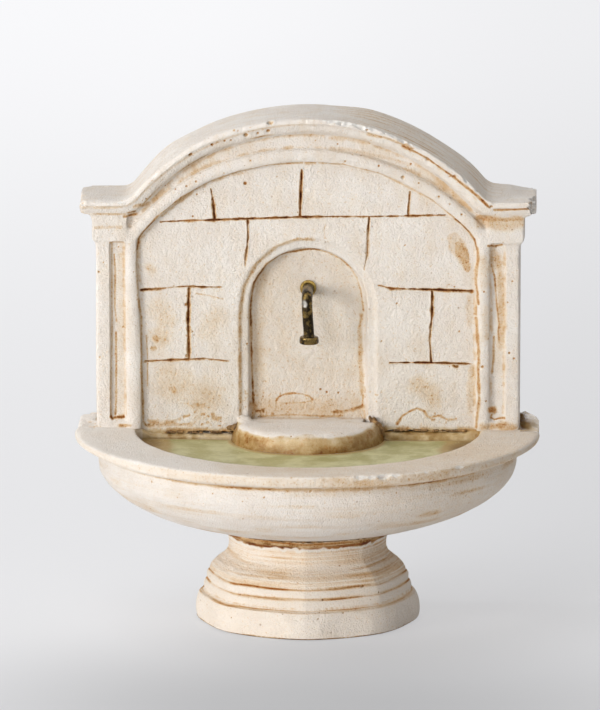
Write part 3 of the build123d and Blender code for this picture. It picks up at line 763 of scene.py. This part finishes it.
def make_wall():
    """The wall: its shape, the scored joints and the wash, then chips and bubbles."""
    wall = Casting("back_wall", "wall_casting", voxel=0.25, wear=4, lumps=AMBER_DROP)
    flat = wall.points[:, (0, 2)] - (0, RIM_TOP)
    front = (wall.points[:, 1] < 4.5) & (wall.normals[:, 1] < 0.2)
    near = np.zeros(len(flat), bool)
    for line in SCORES:
        near[trace(flat, line, 0.8)[0]] = True
    for half, _, _, line in WASH_LINES:
        if half < 0.5:
            near[trace(flat, line, half + 0.45)[0]] = True
    for x, above, radius in BUBBLES:
        near |= np.hypot(flat[:, 0] - x, flat[:, 1] - above) < 1.5 * radius + 0.3
    wall.refine(near & front)
    shape_wall(wall)
    wall.write()

    x, y, z = wall.points.T
    h = z - WALL_FOOT
    flat = wall.points[:, (0, 2)] - (0, RIM_TOP)
    front = (y < 6) & (wall.normals[:, 1] < 0.35)
    score, stain = score_wall(wall, front, flat)
    score, stain = wash_wall(wall, front, flat, score, stain)

    # Thin wash along the mouldings, in the niche and over the right half of the top, where it is partly
    # painted shade
    drop = crown_drop(x, h)
    left = ramp(x, 2, -6)
    mouldings = front * (h > 36)
    line = mouldings * left * bell(drop, 2.7, 0.16)
    stain = np.maximum(stain, 0.65 * line * ramp(wall.noise(4.0, 11), -0.5, 0.4))
    score = np.maximum(score, 0.35 * line * ramp(wall.noise(3.0, 12), -0.2, 0.6))
    stain = np.maximum(stain, 0.25 * mouldings * left * bell(drop, 1.2, 0.16))
    cove = mouldings * bell(drop, 4.0, 1.2) * ramp(wall.noise(6.0, 13), -0.2, 0.7)
    stain += (0.07 - 0.04 * left) * cove
    stain += 0.06 * front * (niche_edge(x, h) < 10) * (y > 2.5)
    specks = ramp(wall.noise(0.42, 18) + 0.5 * wall.noise(2.6, 19), 0.62, 0.95)
    stain = np.maximum(stain, 0.9 * front * specks * ramp(h, 9, 3) * ramp(np.abs(x), 30, 24))
    # Partly painted shade: the right half of the top, which faces away from the lamps, is darkened with
    # brushed wash
    top = (wall.normals[:, 2] > 0.5) & (h > 40) & (y > -1.2)
    along = np.stack([x, 18 * y, z], axis=1)
    strokes = 0.2 + 1.4 * ramp(noise(along, 11.0, 14), -0.1, 0.7)
    stain += 0.3 * top * ramp(x, 2, 14) * ramp(x, 36, 30) * strokes

    # Resin that crept up the wall's foot on both sides of the step
    foot = ramp(np.abs(x), 10.5, 13.5) * ramp(np.abs(x), 32, 28) * (y < 4)
    above = h + left_sink(x)
    soak = 0.7 * foot * ramp(above, 0.1 + 0.4 * wall.noise(2.6, 16), -0.9)
    patches = ramp(wall.noise(1.4, 21), -0.4, 0.5)
    stain = np.maximum(stain, 0.8 * foot * ramp(above, 0.3, -0.8) * patches)

    chips = []
    for where, radius, deep in CROWN_CHIPS:
        place = (where, -1.9, crown_top(where) + WALL_FOOT)
        chips.append((place, (where / CROWN_RADIUS, -1.0, 1.0), radius, deep))
    bare = np.maximum(wall.break_off(chips, seed=20), 0.5 * wall.break_off(WALL_CHIPS, seed=40))
    wall.write()
    dark = wall.sink([(wall_point(wall, *bubble[:2]), 1.25 * bubble[2]) for bubble in BUBBLES])
    wall.write()
    pits = wall.pits(front & (y < 3.0), count=80, smallest=0.08, largest=0.22, seed=31)
    dark = np.maximum(dark, 0.6 * pits)
    wall.keep_inside()
    wall.write()
    stain = np.maximum(stain, 0.8 * dark)
    score = np.maximum(score, 0.1 * dark)
    # The hollows under the cornice's ends were wiped clean
    wiped = 1 - 0.8 * bell(np.abs(x), 32.0, 1.6) * bell(z - RIM_TOP, 38.0, 1.6)
    hollow = {name: depth * wiped for name, depth in wall.hollows().items()}
    material = plaster("wall_plaster", streaks=(0.35, 0.35, 0.12), film=0.10)
    wall.finish(material, "plaster", stain=np.clip(stain, 0, 2), score=score, bare=bare,
                soak=np.clip(soak, 0, 2), **hollow)


# Basin
# Broken places along the rim: distance from the middle, radius and depth
RIM_CHIPS = [
    (10.6, 1.4, 0.5), (12.4, 1.2, 0.4), (14.6, 1.6, 0.6), (16.6, 1.3, 0.4), (28.0, 1.6, 0.35),
    (3.0, 1.0, 0.2), (-8.0, 1.2, 0.2), (-30.0, 1.5, 0.3), (22.0, 1.2, 0.25),
]
# Plaster heaped on the right end of the rim beside the wall: place and radii
EAR_LUMPS = [((40.3, 7.5, 35.1), (2.0, 5.5, 1.3)), ((39.5, 10.5, 35.3), (1.3, 3.4, 1.3))]
# Worn ends of the rim: place, direction, radius and depth
EAR_CHIPS = [
    ((42.2, 13.5, 35.0), (1, 1, 0.3), 6.0, 2.0), ((-42.2, 13.8, 35.0), (-1, 1, 0.4), 5.0, 1.5),
    ((-42.2, 4.0, 34.6), (-1, -0.2, 0.6), 2.4, 0.4), ((42.3, 5.0, 35.2), (1, -0.3, 0.8), 2.0, 0.3),
]


def make_basin():
    """The basin: a worn and chipped rim, brush marks on the bowl and resin round the pool."""
    basin = Casting("basin", "basin_casting", voxel=0.32, wear=4, lumps=EAR_LUMPS)
    x, y, z = basin.points.T
    turn = np.arctan2(x, -np.minimum(y, 0) + 1e-6)
    reach = np.where(y < 0, np.hypot(x, y), np.abs(x))
    back = y > BACK - 0.6
    seat = z < RIM_TOP - BASIN_HEIGHT + 0.3
    around = np.stack([turn * 40, z, np.zeros(len(x))], axis=1)

    # The rim gets thinner towards its ends
    thin = ramp(np.abs(turn), math.radians(30), math.radians(75)) * ramp(reach, 37.0, 38.4)
    thin *= ramp(z, RIM_TOP - 0.8, RIM_TOP - 2.2) * ramp(z, RIM_TOP - 5.0, RIM_TOP - 3.6)
    basin.points[:, 2] += 0.75 * thin
    basin.soften(ramp(reach, 39.5, 41.0) * (z > RIM_TOP - 5), 9)
    pool_edge = ramp(np.abs(x), POOL_HALF_WIDTH + 2, POOL_HALF_WIDTH) * bell(y, 0.2, 1.2) * (z > WATER_TOP)
    basin.soften(pool_edge, 16)

    # The ledge behind the pool lies lower than the rim
    ledge = ramp(np.abs(x), 31, 28) * ramp(y, -1.5, -0.3) * (y < 3.5)
    basin.points[:, 2] -= (0.6 + left_sink(x)) * ledge * ramp(z, RIM_TOP - 2.1, RIM_TOP - 0.3)

    uneven = 0.14 * basin.noise(14.0, 51) + 0.06 * basin.noise(4.5, 52)
    uneven += 0.025 * basin.noise(1.4, 53) - 0.12
    uneven += 0.05 * noise(around, (30.0, 0.9, 1.0), 54) * (reach > 20) * (z < RIM_TOP - 4)
    ear = (np.abs(x) > 38.6) & (y > -1) & (z > RIM_TOP - 4)
    uneven += ear * (0.20 * basin.noise(1.6, 60) - 0.15)
    basin.push(np.where(back | seat, 0.0, uneven))
    basin.write()
    chips = []
    for where, radius, deep in RIM_CHIPS:
        place = (where, -math.sqrt(RIM_RADIUS**2 - where**2) + 0.2, RIM_TOP - 0.3)
        out = (place[0] / RIM_RADIUS, place[1] / RIM_RADIUS, 0.9)
        chips.append((place, out, radius, deep))
    bare = np.maximum(basin.break_off(chips, seed=60), 0.3 * basin.break_off(EAR_CHIPS, seed=80))
    basin.write()
    outside = (reach > 30) | (z > RIM_TOP - 0.4)
    dark = basin.pits(outside & ~back, count=90, smallest=0.10, largest=0.26, seed=55)
    basin.keep_inside()
    basin.write()

    stain = 0.55 * bell(reach, 16.5, 3.0) * ramp(z, RIM_TOP - 14, RIM_TOP - 17) * (z < RIM_TOP - 10)
    belly = (z < RIM_TOP - 2.4) & (reach > 20)
    under_rim = bell(z, RIM_TOP - 3.35 + 0.6 * ramp(np.abs(turn), 0.5, 1.3), 0.15) * (reach > 36) * belly
    stain = np.maximum(stain, 1.2 * under_rim * ramp(noise(around, (10.0, 3.0, 1.0), 56), -0.25, 0.35))
    smear = ramp(noise(around, (9.0, 1.1, 1.0), 57), 0.25, 0.85) * belly
    stain = np.maximum(stain, (0.16 + 0.32 * ramp(x, 16, 26)) * smear)
    # Partly painted shade: the rim's front face is darkened with a film of wash for its grey shading
    face = (reach > 41.0) * ramp(z, RIM_TOP - 0.2, RIM_TOP - 0.6) * (y < 0)
    touched = ramp(noise(around, (5.0, 1.2, 1.0), 61), 0.0, 0.7) * (0.06 + 0.22 * ramp(x, -4, 8))
    stain = np.maximum(stain, face * (0.14 + 0.06 * ramp(x, 0, 15) + touched))
    # More wash on the rim's top towards the right; the extra wash on the right of the bowl's belly is partly
    # painted shade of the side turned from the lamps
    stain += 0.12 * (z > RIM_TOP - 0.3) * ramp(x, -25, 0) + 0.10 * belly * ramp(x, 2, 26)
    worn = 0.42 * (z > RIM_TOP - 2.5) * (reach > 30) * ramp(x, -6, -32)
    # The pool's back face and ends are soaked with resin, and the joint with the wall is stained
    pool_back = (np.abs(x) < POOL_HALF_WIDTH + 0.6) * ramp(y, -1.0, -0.2)
    pool_back *= ramp(z, RIM_TOP + 0.2, RIM_TOP - 0.5) * (y < 1.2) * (z > WATER_TOP - 2)
    pool_part = np.hypot(x / POOL_HALF_WIDTH, np.minimum(y, 0) / POOL_REACH)
    pool_end = ramp(np.abs(x), 22, 30) * ramp(pool_part, 1.04, 1.01) * (y < 0.5) * (z > WATER_TOP - 2)
    pool_end *= ramp(z, RIM_TOP - 0.1, RIM_TOP - 0.5)
    patchy = basin.noise(2.4, 58) + 0.6 * basin.noise(0.9, 64)
    # Lighter on the left: partly less resin, partly painted light against the shade that the rim's left end
    # casts there
    soak = pool_back * (0.85 + 0.4 * patchy) * (1 - 0.4 * ramp(x, -12, -18))
    soak = np.maximum(soak, pool_end * (0.9 + 0.4 * patchy))
    ledge = ramp(y, -0.3, 0.3) * (y < 2.0) * (z > RIM_TOP - 1.2) * ramp(np.abs(x), 30, 26)
    soak = np.maximum(soak, ledge * (0.85 + 0.5 * basin.noise(1.8, 63)))
    joint = ramp(y, 0.0, 0.6) * ramp(y, 3.0, 1.6) * ramp(z, RIM_TOP - 0.5, RIM_TOP - 0.1) * (np.abs(x) < 40)
    stain = np.maximum(stain, 0.8 * joint * (0.6 + 0.5 * basin.noise(2.0, 59)))
    # Partly painted shade: the rim's right end beside the wall is darkened with resin colour, standing in for
    # the wall's shadow on it, over a real grey-brown tone
    soak += ear * (x > 0) * (0.65 + 0.6 * ramp(x, 41.0, 39.3) + 0.4 * basin.noise(2.0, 62))
    stain *= ~back
    soak *= ~back
    score = np.maximum(0.25 * dark, 0.55 * under_rim * ramp(x, 12, 22))
    score = np.maximum(score, 0.3 * pool_back * ramp(patchy, 0.5, 1.0))
    material = plaster("basin_plaster", streaks=(0.05, 0.05, 1.3), film=0.10)
    basin.finish(material, "plaster", stain=np.clip(stain, 0, 2), score=score,
                 bare=np.maximum(0.7 * bare, worn), soak=np.clip(soak, 0, 2), **basin.hollows())


# Foot
# Lines of wash round the foot: height, wash and dirt
RING_LINES = [(5.1, 1.2, 0.2), (7.2, 1.5, 0.45), (8.9, 1.4, 0.5)]


def make_foot():
    """The foot: flats carried up through the rings, combed wash and the adhesive's line at the neck."""
    foot = Casting("foot", "foot_casting", voxel=0.25, wear=3)
    reach = np.hypot(foot.points[:, 0], foot.points[:, 1])
    near = np.min([np.abs(foot.points[:, 2] - level) for level, _, _ in RING_LINES], axis=0)
    foot.refine((near < 0.45) & (reach > 14))
    x, y, z = foot.points.T
    reach = np.hypot(x, y)
    turn = np.arctan2(x, -y)
    ends = (z < 0.25) | (z > FOOT_TOP - 0.2) | (y > BACK - 0.3)
    eighth = math.pi / 4
    facet = 1 - math.cos(eighth / 2) / np.cos(np.mod(turn, eighth) - eighth / 2)
    inward = reach * facet * (0.22 + 0.18 * ramp(z, 5.0, 6.0)) * (z < FOOT_TOP - 0.2) * ramp(y, 12.0, 4.0)
    foot.points[:, 0] -= inward * x / np.maximum(reach, 1)
    foot.points[:, 1] -= inward * y / np.maximum(reach, 1)
    around = np.stack([turn * 16, z, np.zeros(len(x))], axis=1)
    turned = ramp(z, 8.8, 9.6) * ramp(z, 16.6, 15.8)
    rings = noise(around, (22.0, 0.5, 1.0), 71) * 0.5 + noise(around, (12.0, 0.28, 1.0), 72) * 0.5
    uneven = 0.10 * foot.noise(8.0, 73) + 0.05 * foot.noise(2.6, 74)
    uneven += 0.05 * turned * rings - 0.1
    foot.push(np.where(ends, 0.0, uneven * ramp(y, BACK - 0.3, BACK - 3.0)))
    # The outer edge of the underside is lifted, and the same mask darkens that edge below as painted contact
    # shade
    under = ramp(z, 0.5, 0.0) * ramp(reach, FOOT_REACH - 1.4, FOOT_REACH - 0.2) * (y < 8)
    foot.points[:, 2] += 0.3 * under
    foot.write()
    dark = foot.pits((reach > 12) & (z > 0.5) & (z < 17), count=60, smallest=0.10, largest=0.26, seed=75)
    foot.keep_inside()
    foot.write()

    # Partly painted shade: the neck takes more wash and darker ring lines on its right, the side turned from
    # the lamps
    right = ramp(np.sin(turn), 0.15, 0.75)
    breaks = ramp(noise(around, (6.0, 4.0, 1.0), 76), -0.5, 0.4)
    stain = turned * (0.13 + 0.14 * right + 0.38 * ramp(rings, 0.0, -0.5) * breaks)
    stain = np.maximum(stain, 0.9 * bell(z, 14.0, 0.25) * bell(turn, -0.35, 0.4) * breaks)
    # Partly painted light: less wash on the left, the lit side
    stain *= 0.6 + 0.4 * ramp(np.sin(turn), -0.7, 0.1)
    # Painted shade: the lifted lower edge is darkened as the contact shadow under the foot
    score = under
    for level, wash, dirt in RING_LINES:
        line = bell(z + 0.12 * noise(around, (5.0, 1.0, 1.0), 78), level, 0.16)
        stain = np.maximum(stain, wash * line * (0.35 + 0.65 * breaks))
        score = np.maximum(score, dirt * line * breaks * (0.5 + 0.7 * right))
    ragged = 0.35 * noise(around, (1.6, 1.0, 1.0), 77) + 0.25 * noise(around, (0.6, 1.0, 1.0), 79)
    glued = ramp(z + ragged, FOOT_TOP - 1.9, FOOT_TOP - 1.5) * (reach > 13)
    glued *= 0.35 + 0.65 * ramp(z, FOOT_TOP - 0.3, FOOT_TOP - 0.8)
    stain = np.maximum(stain, 1.2 * glued)
    tarry = 0.2 + 0.4 * ramp(noise(around, (2.5, 1.0, 1.0), 80), -0.2, 0.5)
    score = np.maximum(np.maximum(score, 0.6 * dark), tarry * glued)
    bare = 0.7 * bell(z + ragged, FOOT_TOP - 1.9, 0.32) * (reach > 13)
    shown = y < BACK - 0.4
    # Painted light: the foot takes lighter plaster colours than the wall, against the shade that the bowl
    # casts over the neck
    material = plaster("foot_plaster", (0.05, 0.05, 3.0), film=0.03, combed=True, dull=FOOT_TAN_PAINTED_LIGHT, light=FOOT_PALE_PAINTED_LIGHT)
    foot.finish(material, "plaster", stain=np.clip(stain, 0, 2) * shown, score=np.clip(score, 0, 1) * shown,
                bare=bare * shown, soak=0.2 * glued * shown, **foot.hollows())


# Step
# Plaster at the foot of the niche's left jamb, run together with the step: place and radii
STEP_LUMPS = [((-11.7, 0.6, RIM_TOP + 1.5), (1.7, 1.5, 1.0))]


def make_step():
    """The step: rounded, and soaked with resin up to a ragged line."""
    step = Casting("niche_step", "step_casting", voxel=0.2, wear=8, lumps=STEP_LUMPS)
    x, y, z = step.points.T
    step.soften(ramp(z, RIM_TOP - 1.0, RIM_TOP + 0.2) * (y < 1), 36)
    flare = 0.045 * ramp(z, RIM_TOP + 0.6, WATER_TOP) * (z > WATER_TOP - 1.5) * (y < 1)
    step.points[:, :2] *= 1 + flare[:, None]
    uneven = 0.16 * step.noise(6.0, 91) + 0.06 * step.noise(2.0, 92) - 0.12
    step.push(np.where(z < WATER_TOP - 4, 0.0, uneven))
    step.write()
    dark = step.pits(z > WATER_TOP + 0.5, count=40, smallest=0.12, largest=0.24, seed=93)
    step.write()
    wet = RIM_TOP + 0.75 + 0.4 * step.noise(4.0, 94) + 0.15 * step.noise(1.2, 96)
    soaked = ramp(z, wet + 0.35, wet - 0.2) * (y < 0.3)
    soak = 0.4 + 0.6 * ramp(z, wet, WATER_TOP + 0.2) + 0.3 * ramp(x, 2, 12)
    soak += 0.35 * step.noise(2.5, 95)
    soak = soaked * soak + 0.9 * ramp(np.abs(x), 11.4, 13.0) * ramp(y, -3.0, -0.3) * (z < RIM_TOP + 1.2)
    stain = 0.5 * ramp(y, 1.2, 3.2) * ramp(step.noise(2.2, 97), -0.5, 0.6)
    stain += soaked * (0.15 + 0.45 * ramp(step.noise(0.9, 98), -0.1, 0.7))
    material = plaster("step_plaster", streaks=(0.3, 0.3, 0.5), film=0.06)
    step.finish(material, "plaster", stain=stain, score=0.6 * dark, bare=np.zeros(len(x)),
                soak=np.clip(soak, 0, 2), **step.hollows())


# Resin, adhesive and nail
GREEN_DARK = (0.370, 0.350, 0.160, 1)
GREEN_LIGHT = (0.540, 0.520, 0.300, 1)
RESIN_BROWN = (0.400, 0.285, 0.125, 1)
RESIN_DEEP = (0.200, 0.120, 0.045, 1)
PALE_SPECK = (0.680, 0.680, 0.480, 1)
DARK_SPECK = (0.220, 0.205, 0.080, 1)
PATINA = (0.018, 0.012, 0.005, 1)
OLD_BRASS = (0.230, 0.155, 0.048, 1)
# Pale tone of the painted highlight on the nail
HIGHLIGHT_BRASS = (0.290, 0.275, 0.250, 1)
# Dark and light tone of each adhesive
AMBER = (0.200, 0.120, 0.025, 1), (0.520, 0.360, 0.090, 1)
BROWN = (0.075, 0.036, 0.012, 1), (0.370, 0.215, 0.085, 1)


def resin_material():
    """Clouded green resin that goes brown towards its edges."""
    material, tree, shader, place = new_material("resin_water")
    edge = attribute(tree, "edge")
    murk = cloud(tree, place, (0.22, 0.22, 0.22), 3.0, 0.6, 5.0)
    specks = cloud(tree, place, (1.8, 1.8, 1.8), 2.0, 0.6, 15.0)
    colour = blend(tree, spread(tree, murk, 0.35, 0.65), GREEN_DARK, GREEN_LIGHT)
    brown = maths(tree, "ADD", edge, maths(tree, "MULTIPLY", maths(tree, "SUBTRACT", murk, 0.5), 0.5))
    colour = blend(tree, spread(tree, brown, 0.30, 0.65), colour, RESIN_BROWN)
    colour = blend(tree, spread(tree, brown, 0.65, 1.05), colour, RESIN_DEEP)
    colour = blend(tree, spread(tree, specks, 0.62, 0.74, 0.0, 0.6), colour, PALE_SPECK)
    colour = blend(tree, spread(tree, specks, 0.36, 0.26, 0.0, 0.6), colour, DARK_SPECK)
    ripple = cloud(tree, place, (0.5, 0.5, 0.5), 2.0, 0.5, 25.0)
    bump = add(tree, "Bump", {"Height": ripple, "Strength": 0.12, "Distance": MM})
    dress(tree, shader, Base_Color=colour, Roughness=0.38, Normal=bump.outputs[0], Specular_IOR_Level=0.3)
    return material


def glue_material(name, dark, light):
    """Cloudy adhesive between two tones."""
    material, tree, shader, place = new_material(name)
    cloudy = cloud(tree, place, (1.1, 1.1, 1.1), 4.0, 0.65)
    colour = blend(tree, spread(tree, cloudy, 0.35, 0.68), dark, light)
    bump = add(tree, "Bump", {"Height": cloudy, "Strength": 0.6, "Distance": 0.4 * MM})
    dress(tree, shader, Base_Color=colour, Roughness=0.5, Normal=bump.outputs[0], Specular_IOR_Level=0.25)
    return material


def nail_material():
    """Brass under a dark patina, with one pale patch painted on as a highlight."""
    material, tree, shader, place = new_material("aged_brass")
    patina = cloud(tree, place, (0.9, 0.9, 0.9), 4.0, 0.65, 3.0)
    scratch = cloud(tree, place, (6.0, 6.0, 0.8), 2.0, 0.5, 9.0)
    colour = blend(tree, spread(tree, patina, 0.42, 0.66), PATINA, OLD_BRASS)
    # Painted highlight: the pale patch kept in the worn mark
    colour = blend(tree, spread(tree, attribute(tree, "worn"), 0.3, 0.8), colour, HIGHLIGHT_BRASS)
    gloss = spread(tree, patina, 0.3, 0.7, 0.42, 0.2)
    bump = add(tree, "Bump", {"Height": scratch, "Strength": 0.4, "Distance": 0.15 * MM})
    dress(tree, shader, Base_Color=colour, Metallic=0.9, Roughness=gloss, Normal=bump.outputs[0])
    return material


def make_water():
    """The pool: its surface creeps up along its edges."""
    water = Casting("water", "resin_pool", voxel=0.3, wear=2)
    x, y, z = water.points.T
    to_step = np.hypot(x, y) - STEP_RADIUS - 0.5
    to_back = -y
    to_side = (1 - np.hypot(x / POOL_HALF_WIDTH, y / POOL_REACH)) * POOL_REACH
    near = np.clip(np.minimum(np.minimum(to_step, to_back), to_side), 0, None)
    lift = 0.35 * np.exp(-near / 0.7) - 0.10 + 0.08 * water.noise(7.0, 101)
    water.points[:, 2] += np.where(z > WATER_TOP - 0.5, lift, 0.0)
    water.write()
    edge = 0.95 * np.exp(-np.clip(np.minimum(to_step, to_back), 0, None) / 0.9)
    edge = np.maximum(edge, ramp(np.abs(x), 21.0, 28.5))
    edge += 0.12 * water.noise(4.0, 102)
    water.finish(resin_material(), "resin", edge=np.clip(edge, 0, 1))


def neck_lumps():
    """Adhesive pressed out of the joint between foot and basin, in beads round the front."""
    picker = np.random.default_rng(7)
    lumps = []
    for degrees in np.arange(-112, 112, 1.6):
        angle = math.radians(degrees)
        out = 15.6 + 0.2 * picker.random()
        tall = 0.22 + 0.22 * picker.random()
        place = (out * math.sin(angle), -out * math.cos(angle), FOOT_TOP + 0.05 + 0.15 * picker.random())
        lumps.append((place, (0.55, 0.55, tall)))
        out += 0.45 + 0.25 * math.sin(angle)
        place = (out * math.sin(angle), -out * math.cos(angle), FOOT_TOP + 0.5)
        lumps.append((place, (0.6, 0.6, 0.35)))
    return lumps


def wall_lumps():
    """Adhesive pressed out at the step's ends and along the wall's foot beside it."""
    picker = np.random.default_rng(9)
    lumps = [
        ((12.6, -0.1, 35.6), (1.0, 0.9, 0.9)), ((12.0, 0.5, 36.3), (0.7, 0.7, 0.9)),
        ((13.2, -0.4, 34.6), (0.8, 0.8, 1.2)), ((11.3, 0.9, 36.9), (0.3, 0.3, 0.5)),
        ((-13.1, -0.1, 35.2), (0.9, 0.8, 0.8)), ((-13.9, 0.3, 35.1), (1.0, 0.6, 0.5)),
        ((-12.5, 0.5, 35.9), (0.5, 0.6, 0.6)),
    ]
    for side, start, end, low in ((-1, 13.5, 26.0, 1.0), (1, 13.5, 29.0, 0.5)):
        for where in np.arange(start, end, 0.5):
            if picker.random() < 0.6:
                inward = 1.0 - 0.3 * picker.random()
                place = (side * where, inward, RIM_TOP - low + 0.12 * picker.random())
                lumps.append((place, (0.5, 0.5, 0.12 + 0.16 * picker.random())))
    return lumps


def make_small_pieces():
    """The nail, which leans to the right towards its head, and the three pieces of adhesive."""
    nail = Casting("spout", "nail_spout", voxel=0.12, wear=3)
    low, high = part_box("spout")
    drop = (high.z / MM - nail.points[:, 2]) / ((high.z - low.z) / MM)
    nail.push(0.03 * nail.noise(0.9, 111) - 0.02)
    nail.points[:, 0] += 0.4 * ramp(drop, 0.15, 1.0)
    nail.write()
    # Painted highlight: a pale patch on the front of the shank near its top, on the side towards the lamps
    worn = bell(drop, 0.22, 0.08) * bell(nail.points[:, 0] - nail.noise(0.8, 112) * 0.4, -0.45, 0.5)
    nail.finish(nail_material(), "nail", worn=worn * (nail.normals[:, 1] < -0.2))
    amber = glue_material("amber_bead", *AMBER)
    brown = glue_material("brown_adhesive", *BROWN)
    Casting("spout_bead", "nail_bead", voxel=0.1, wear=2).finish(amber, "adhesive")
    Casting("foot_bed", "neck_adhesive", voxel=0.15, wear=2, lumps=neck_lumps()).finish(brown, "adhesive")
    Casting("wall_bed", "wall_adhesive", voxel=0.15, wear=2, lumps=wall_lumps()).finish(brown, "adhesive")


# Stage, in metres: a pale floor that fills the picture, soft light from the left front, and the camera
FLOOR_HALF = 4.0
PAPER = (0.90, 0.90, 0.91, 1)
PAPER_GLOW = (1.0, 1.0, 1.02, 1)
BACKDROP = (0.90, 0.90, 0.915, 1)
ROOM = (0.985, 0.99, 1.0, 1)
ROOM_STRENGTH = 0.31
LAMP_AIM = (0, 0, 0.05)
# Lamps: name, place, size, power in watts and colour
LAMPS = [
    ("key", (-0.87, -0.785, 0.24), 0.40, 8.7, (1.0, 0.985, 0.955)),
    ("fill", (-0.45, -1.4, 0.35), 0.5, 5.0, (1.0, 0.99, 0.97)),
    ("overhead", (-0.6, -0.25, 1.35), 1.2, 11.2, (0.98, 0.99, 1.0)),
    ("rear", (0.3, 1.5, 0.5), 1.2, 5.0, (1.0, 0.99, 0.98)),
]
CAMERA_AIM = Vector((-0.0014, 0.0, 0.0487))
CAMERA_DISTANCE = 1.5
CAMERA_AZIMUTH = math.radians(1.5)
CAMERA_ELEVATION = math.radians(11.18)
CAMERA_LENS = 418.3


def shown_ray(tree):
    """1 for a ray that shows the background: from the camera, a glossy surface or a clear one."""
    path = add(tree, "LightPath")
    seen = maths(tree, "MAXIMUM", path.outputs["Is Camera Ray"], path.outputs["Is Glossy Ray"])
    return maths(tree, "MAXIMUM", seen, path.outputs["Is Transmission Ray"])


def make_stage():
    """The paper floor, which keeps the object's shadow."""
    corners = [(x * FLOOR_HALF, y * FLOOR_HALF, 0) for x, y in ((-1, -1), (1, -1), (1, 1), (-1, 1))]
    mesh = bpy.data.meshes.new("paper_floor")
    mesh.from_pydata(corners, [], [(0, 1, 2, 3)])
    floor = place_object("paper_floor", mesh)
    material = bpy.data.materials.new("paper")
    tree = clear_tree(material)
    place = add(tree, "NewGeometry").outputs["Position"]
    where = add(tree, "SeparateXYZ", {0: place})
    # Painted shade and light on the paper: it is greyer in front of the object, as under its shadow, and
    # painted brighter behind it and to the left
    shade = spread(tree, where.outputs["Y"], -0.09, 0.03, 0.18, 0.26)
    tone = add(tree, "CombineColor", {0: shade, 1: shade, 2: maths(tree, "MULTIPLY", shade, 1.015)})
    # Painted shadow: the paper's glow drops near a point in front of the foot
    painted_shadow_distance = add(tree, "VectorMath", {0: place, 1: (0.0, -0.07, 0.0)}, operation="DISTANCE").outputs["Value"]
    glow = spread(tree, painted_shadow_distance, 0.01, 0.08, 0.36, 0.545)
    glow = maths(tree, "ADD", glow, spread(tree, where.outputs["Y"], 0.02, 0.75, 0.0, 0.19))
    glow = maths(tree, "ADD", glow, spread(tree, where.outputs["X"], -0.06, 0.07, 0.015, -0.07))
    paper = add(tree, "BsdfDiffuse", {"Color": PAPER})
    shown = add(tree, "BsdfDiffuse", {"Color": tone.outputs[0]})
    lift = add(tree, "Emission", {"Color": PAPER_GLOW, "Strength": glow})
    both = add(tree, "AddShader", {0: shown.outputs[0], 1: lift.outputs[0]})
    result = add(tree, "MixShader", {0: shown_ray(tree), 1: paper.outputs[0], 2: both.outputs[0]})
    add(tree, "OutputMaterial", {"Surface": result.outputs[0]})
    mesh.materials.append(material)


def light(name, place, size, power, colour):
    """A square lamp that is turned to the object."""
    lamp = bpy.data.lights.new(name, "AREA")
    lamp.shape = "SQUARE"
    lamp.size = size
    lamp.energy = power
    lamp.color = colour
    made = place_object(name, lamp)
    made.location = place
    made.rotation_euler = (Vector(LAMP_AIM) - Vector(place)).to_track_quat("-Z", "Y").to_euler()


def make_lights():
    """Four soft lamps in a pale room, whose walls show as a plain backdrop."""
    for lamp in LAMPS:
        light(*lamp)
    scene.world = bpy.data.worlds.new("room")
    tree = clear_tree(scene.world)
    room = add(tree, "Background", {"Color": ROOM, "Strength": ROOM_STRENGTH})
    shown = add(tree, "Background", {"Color": BACKDROP, "Strength": 1.0})
    result = add(tree, "MixShader", {0: shown_ray(tree), 1: room.outputs[0], 2: shown.outputs[0]})
    add(tree, "OutputWorld", {"Surface": result.outputs[0]})


def make_camera():
    """The camera at the photo's angle."""
    level = math.cos(CAMERA_ELEVATION)
    across, along = math.sin(CAMERA_AZIMUTH) * level, -math.cos(CAMERA_AZIMUTH) * level
    back = Vector((across, along, math.sin(CAMERA_ELEVATION)))
    data = bpy.data.cameras.new("camera")
    data.lens = CAMERA_LENS
    data.sensor_width = 36.0
    data.clip_end = 10.0
    camera = place_object("camera", data)
    camera.location = CAMERA_AIM + back * CAMERA_DISTANCE
    camera.rotation_euler = (-back).to_track_quat("-Z", "Y").to_euler()
    scene.camera = camera


make_wall()
make_basin()
make_foot()
make_step()
make_water()
make_small_pieces()
make_stage()
make_lights()
make_camera()
scene.view_settings.view_transform = "Standard"

bpy.context.view_layer.update()
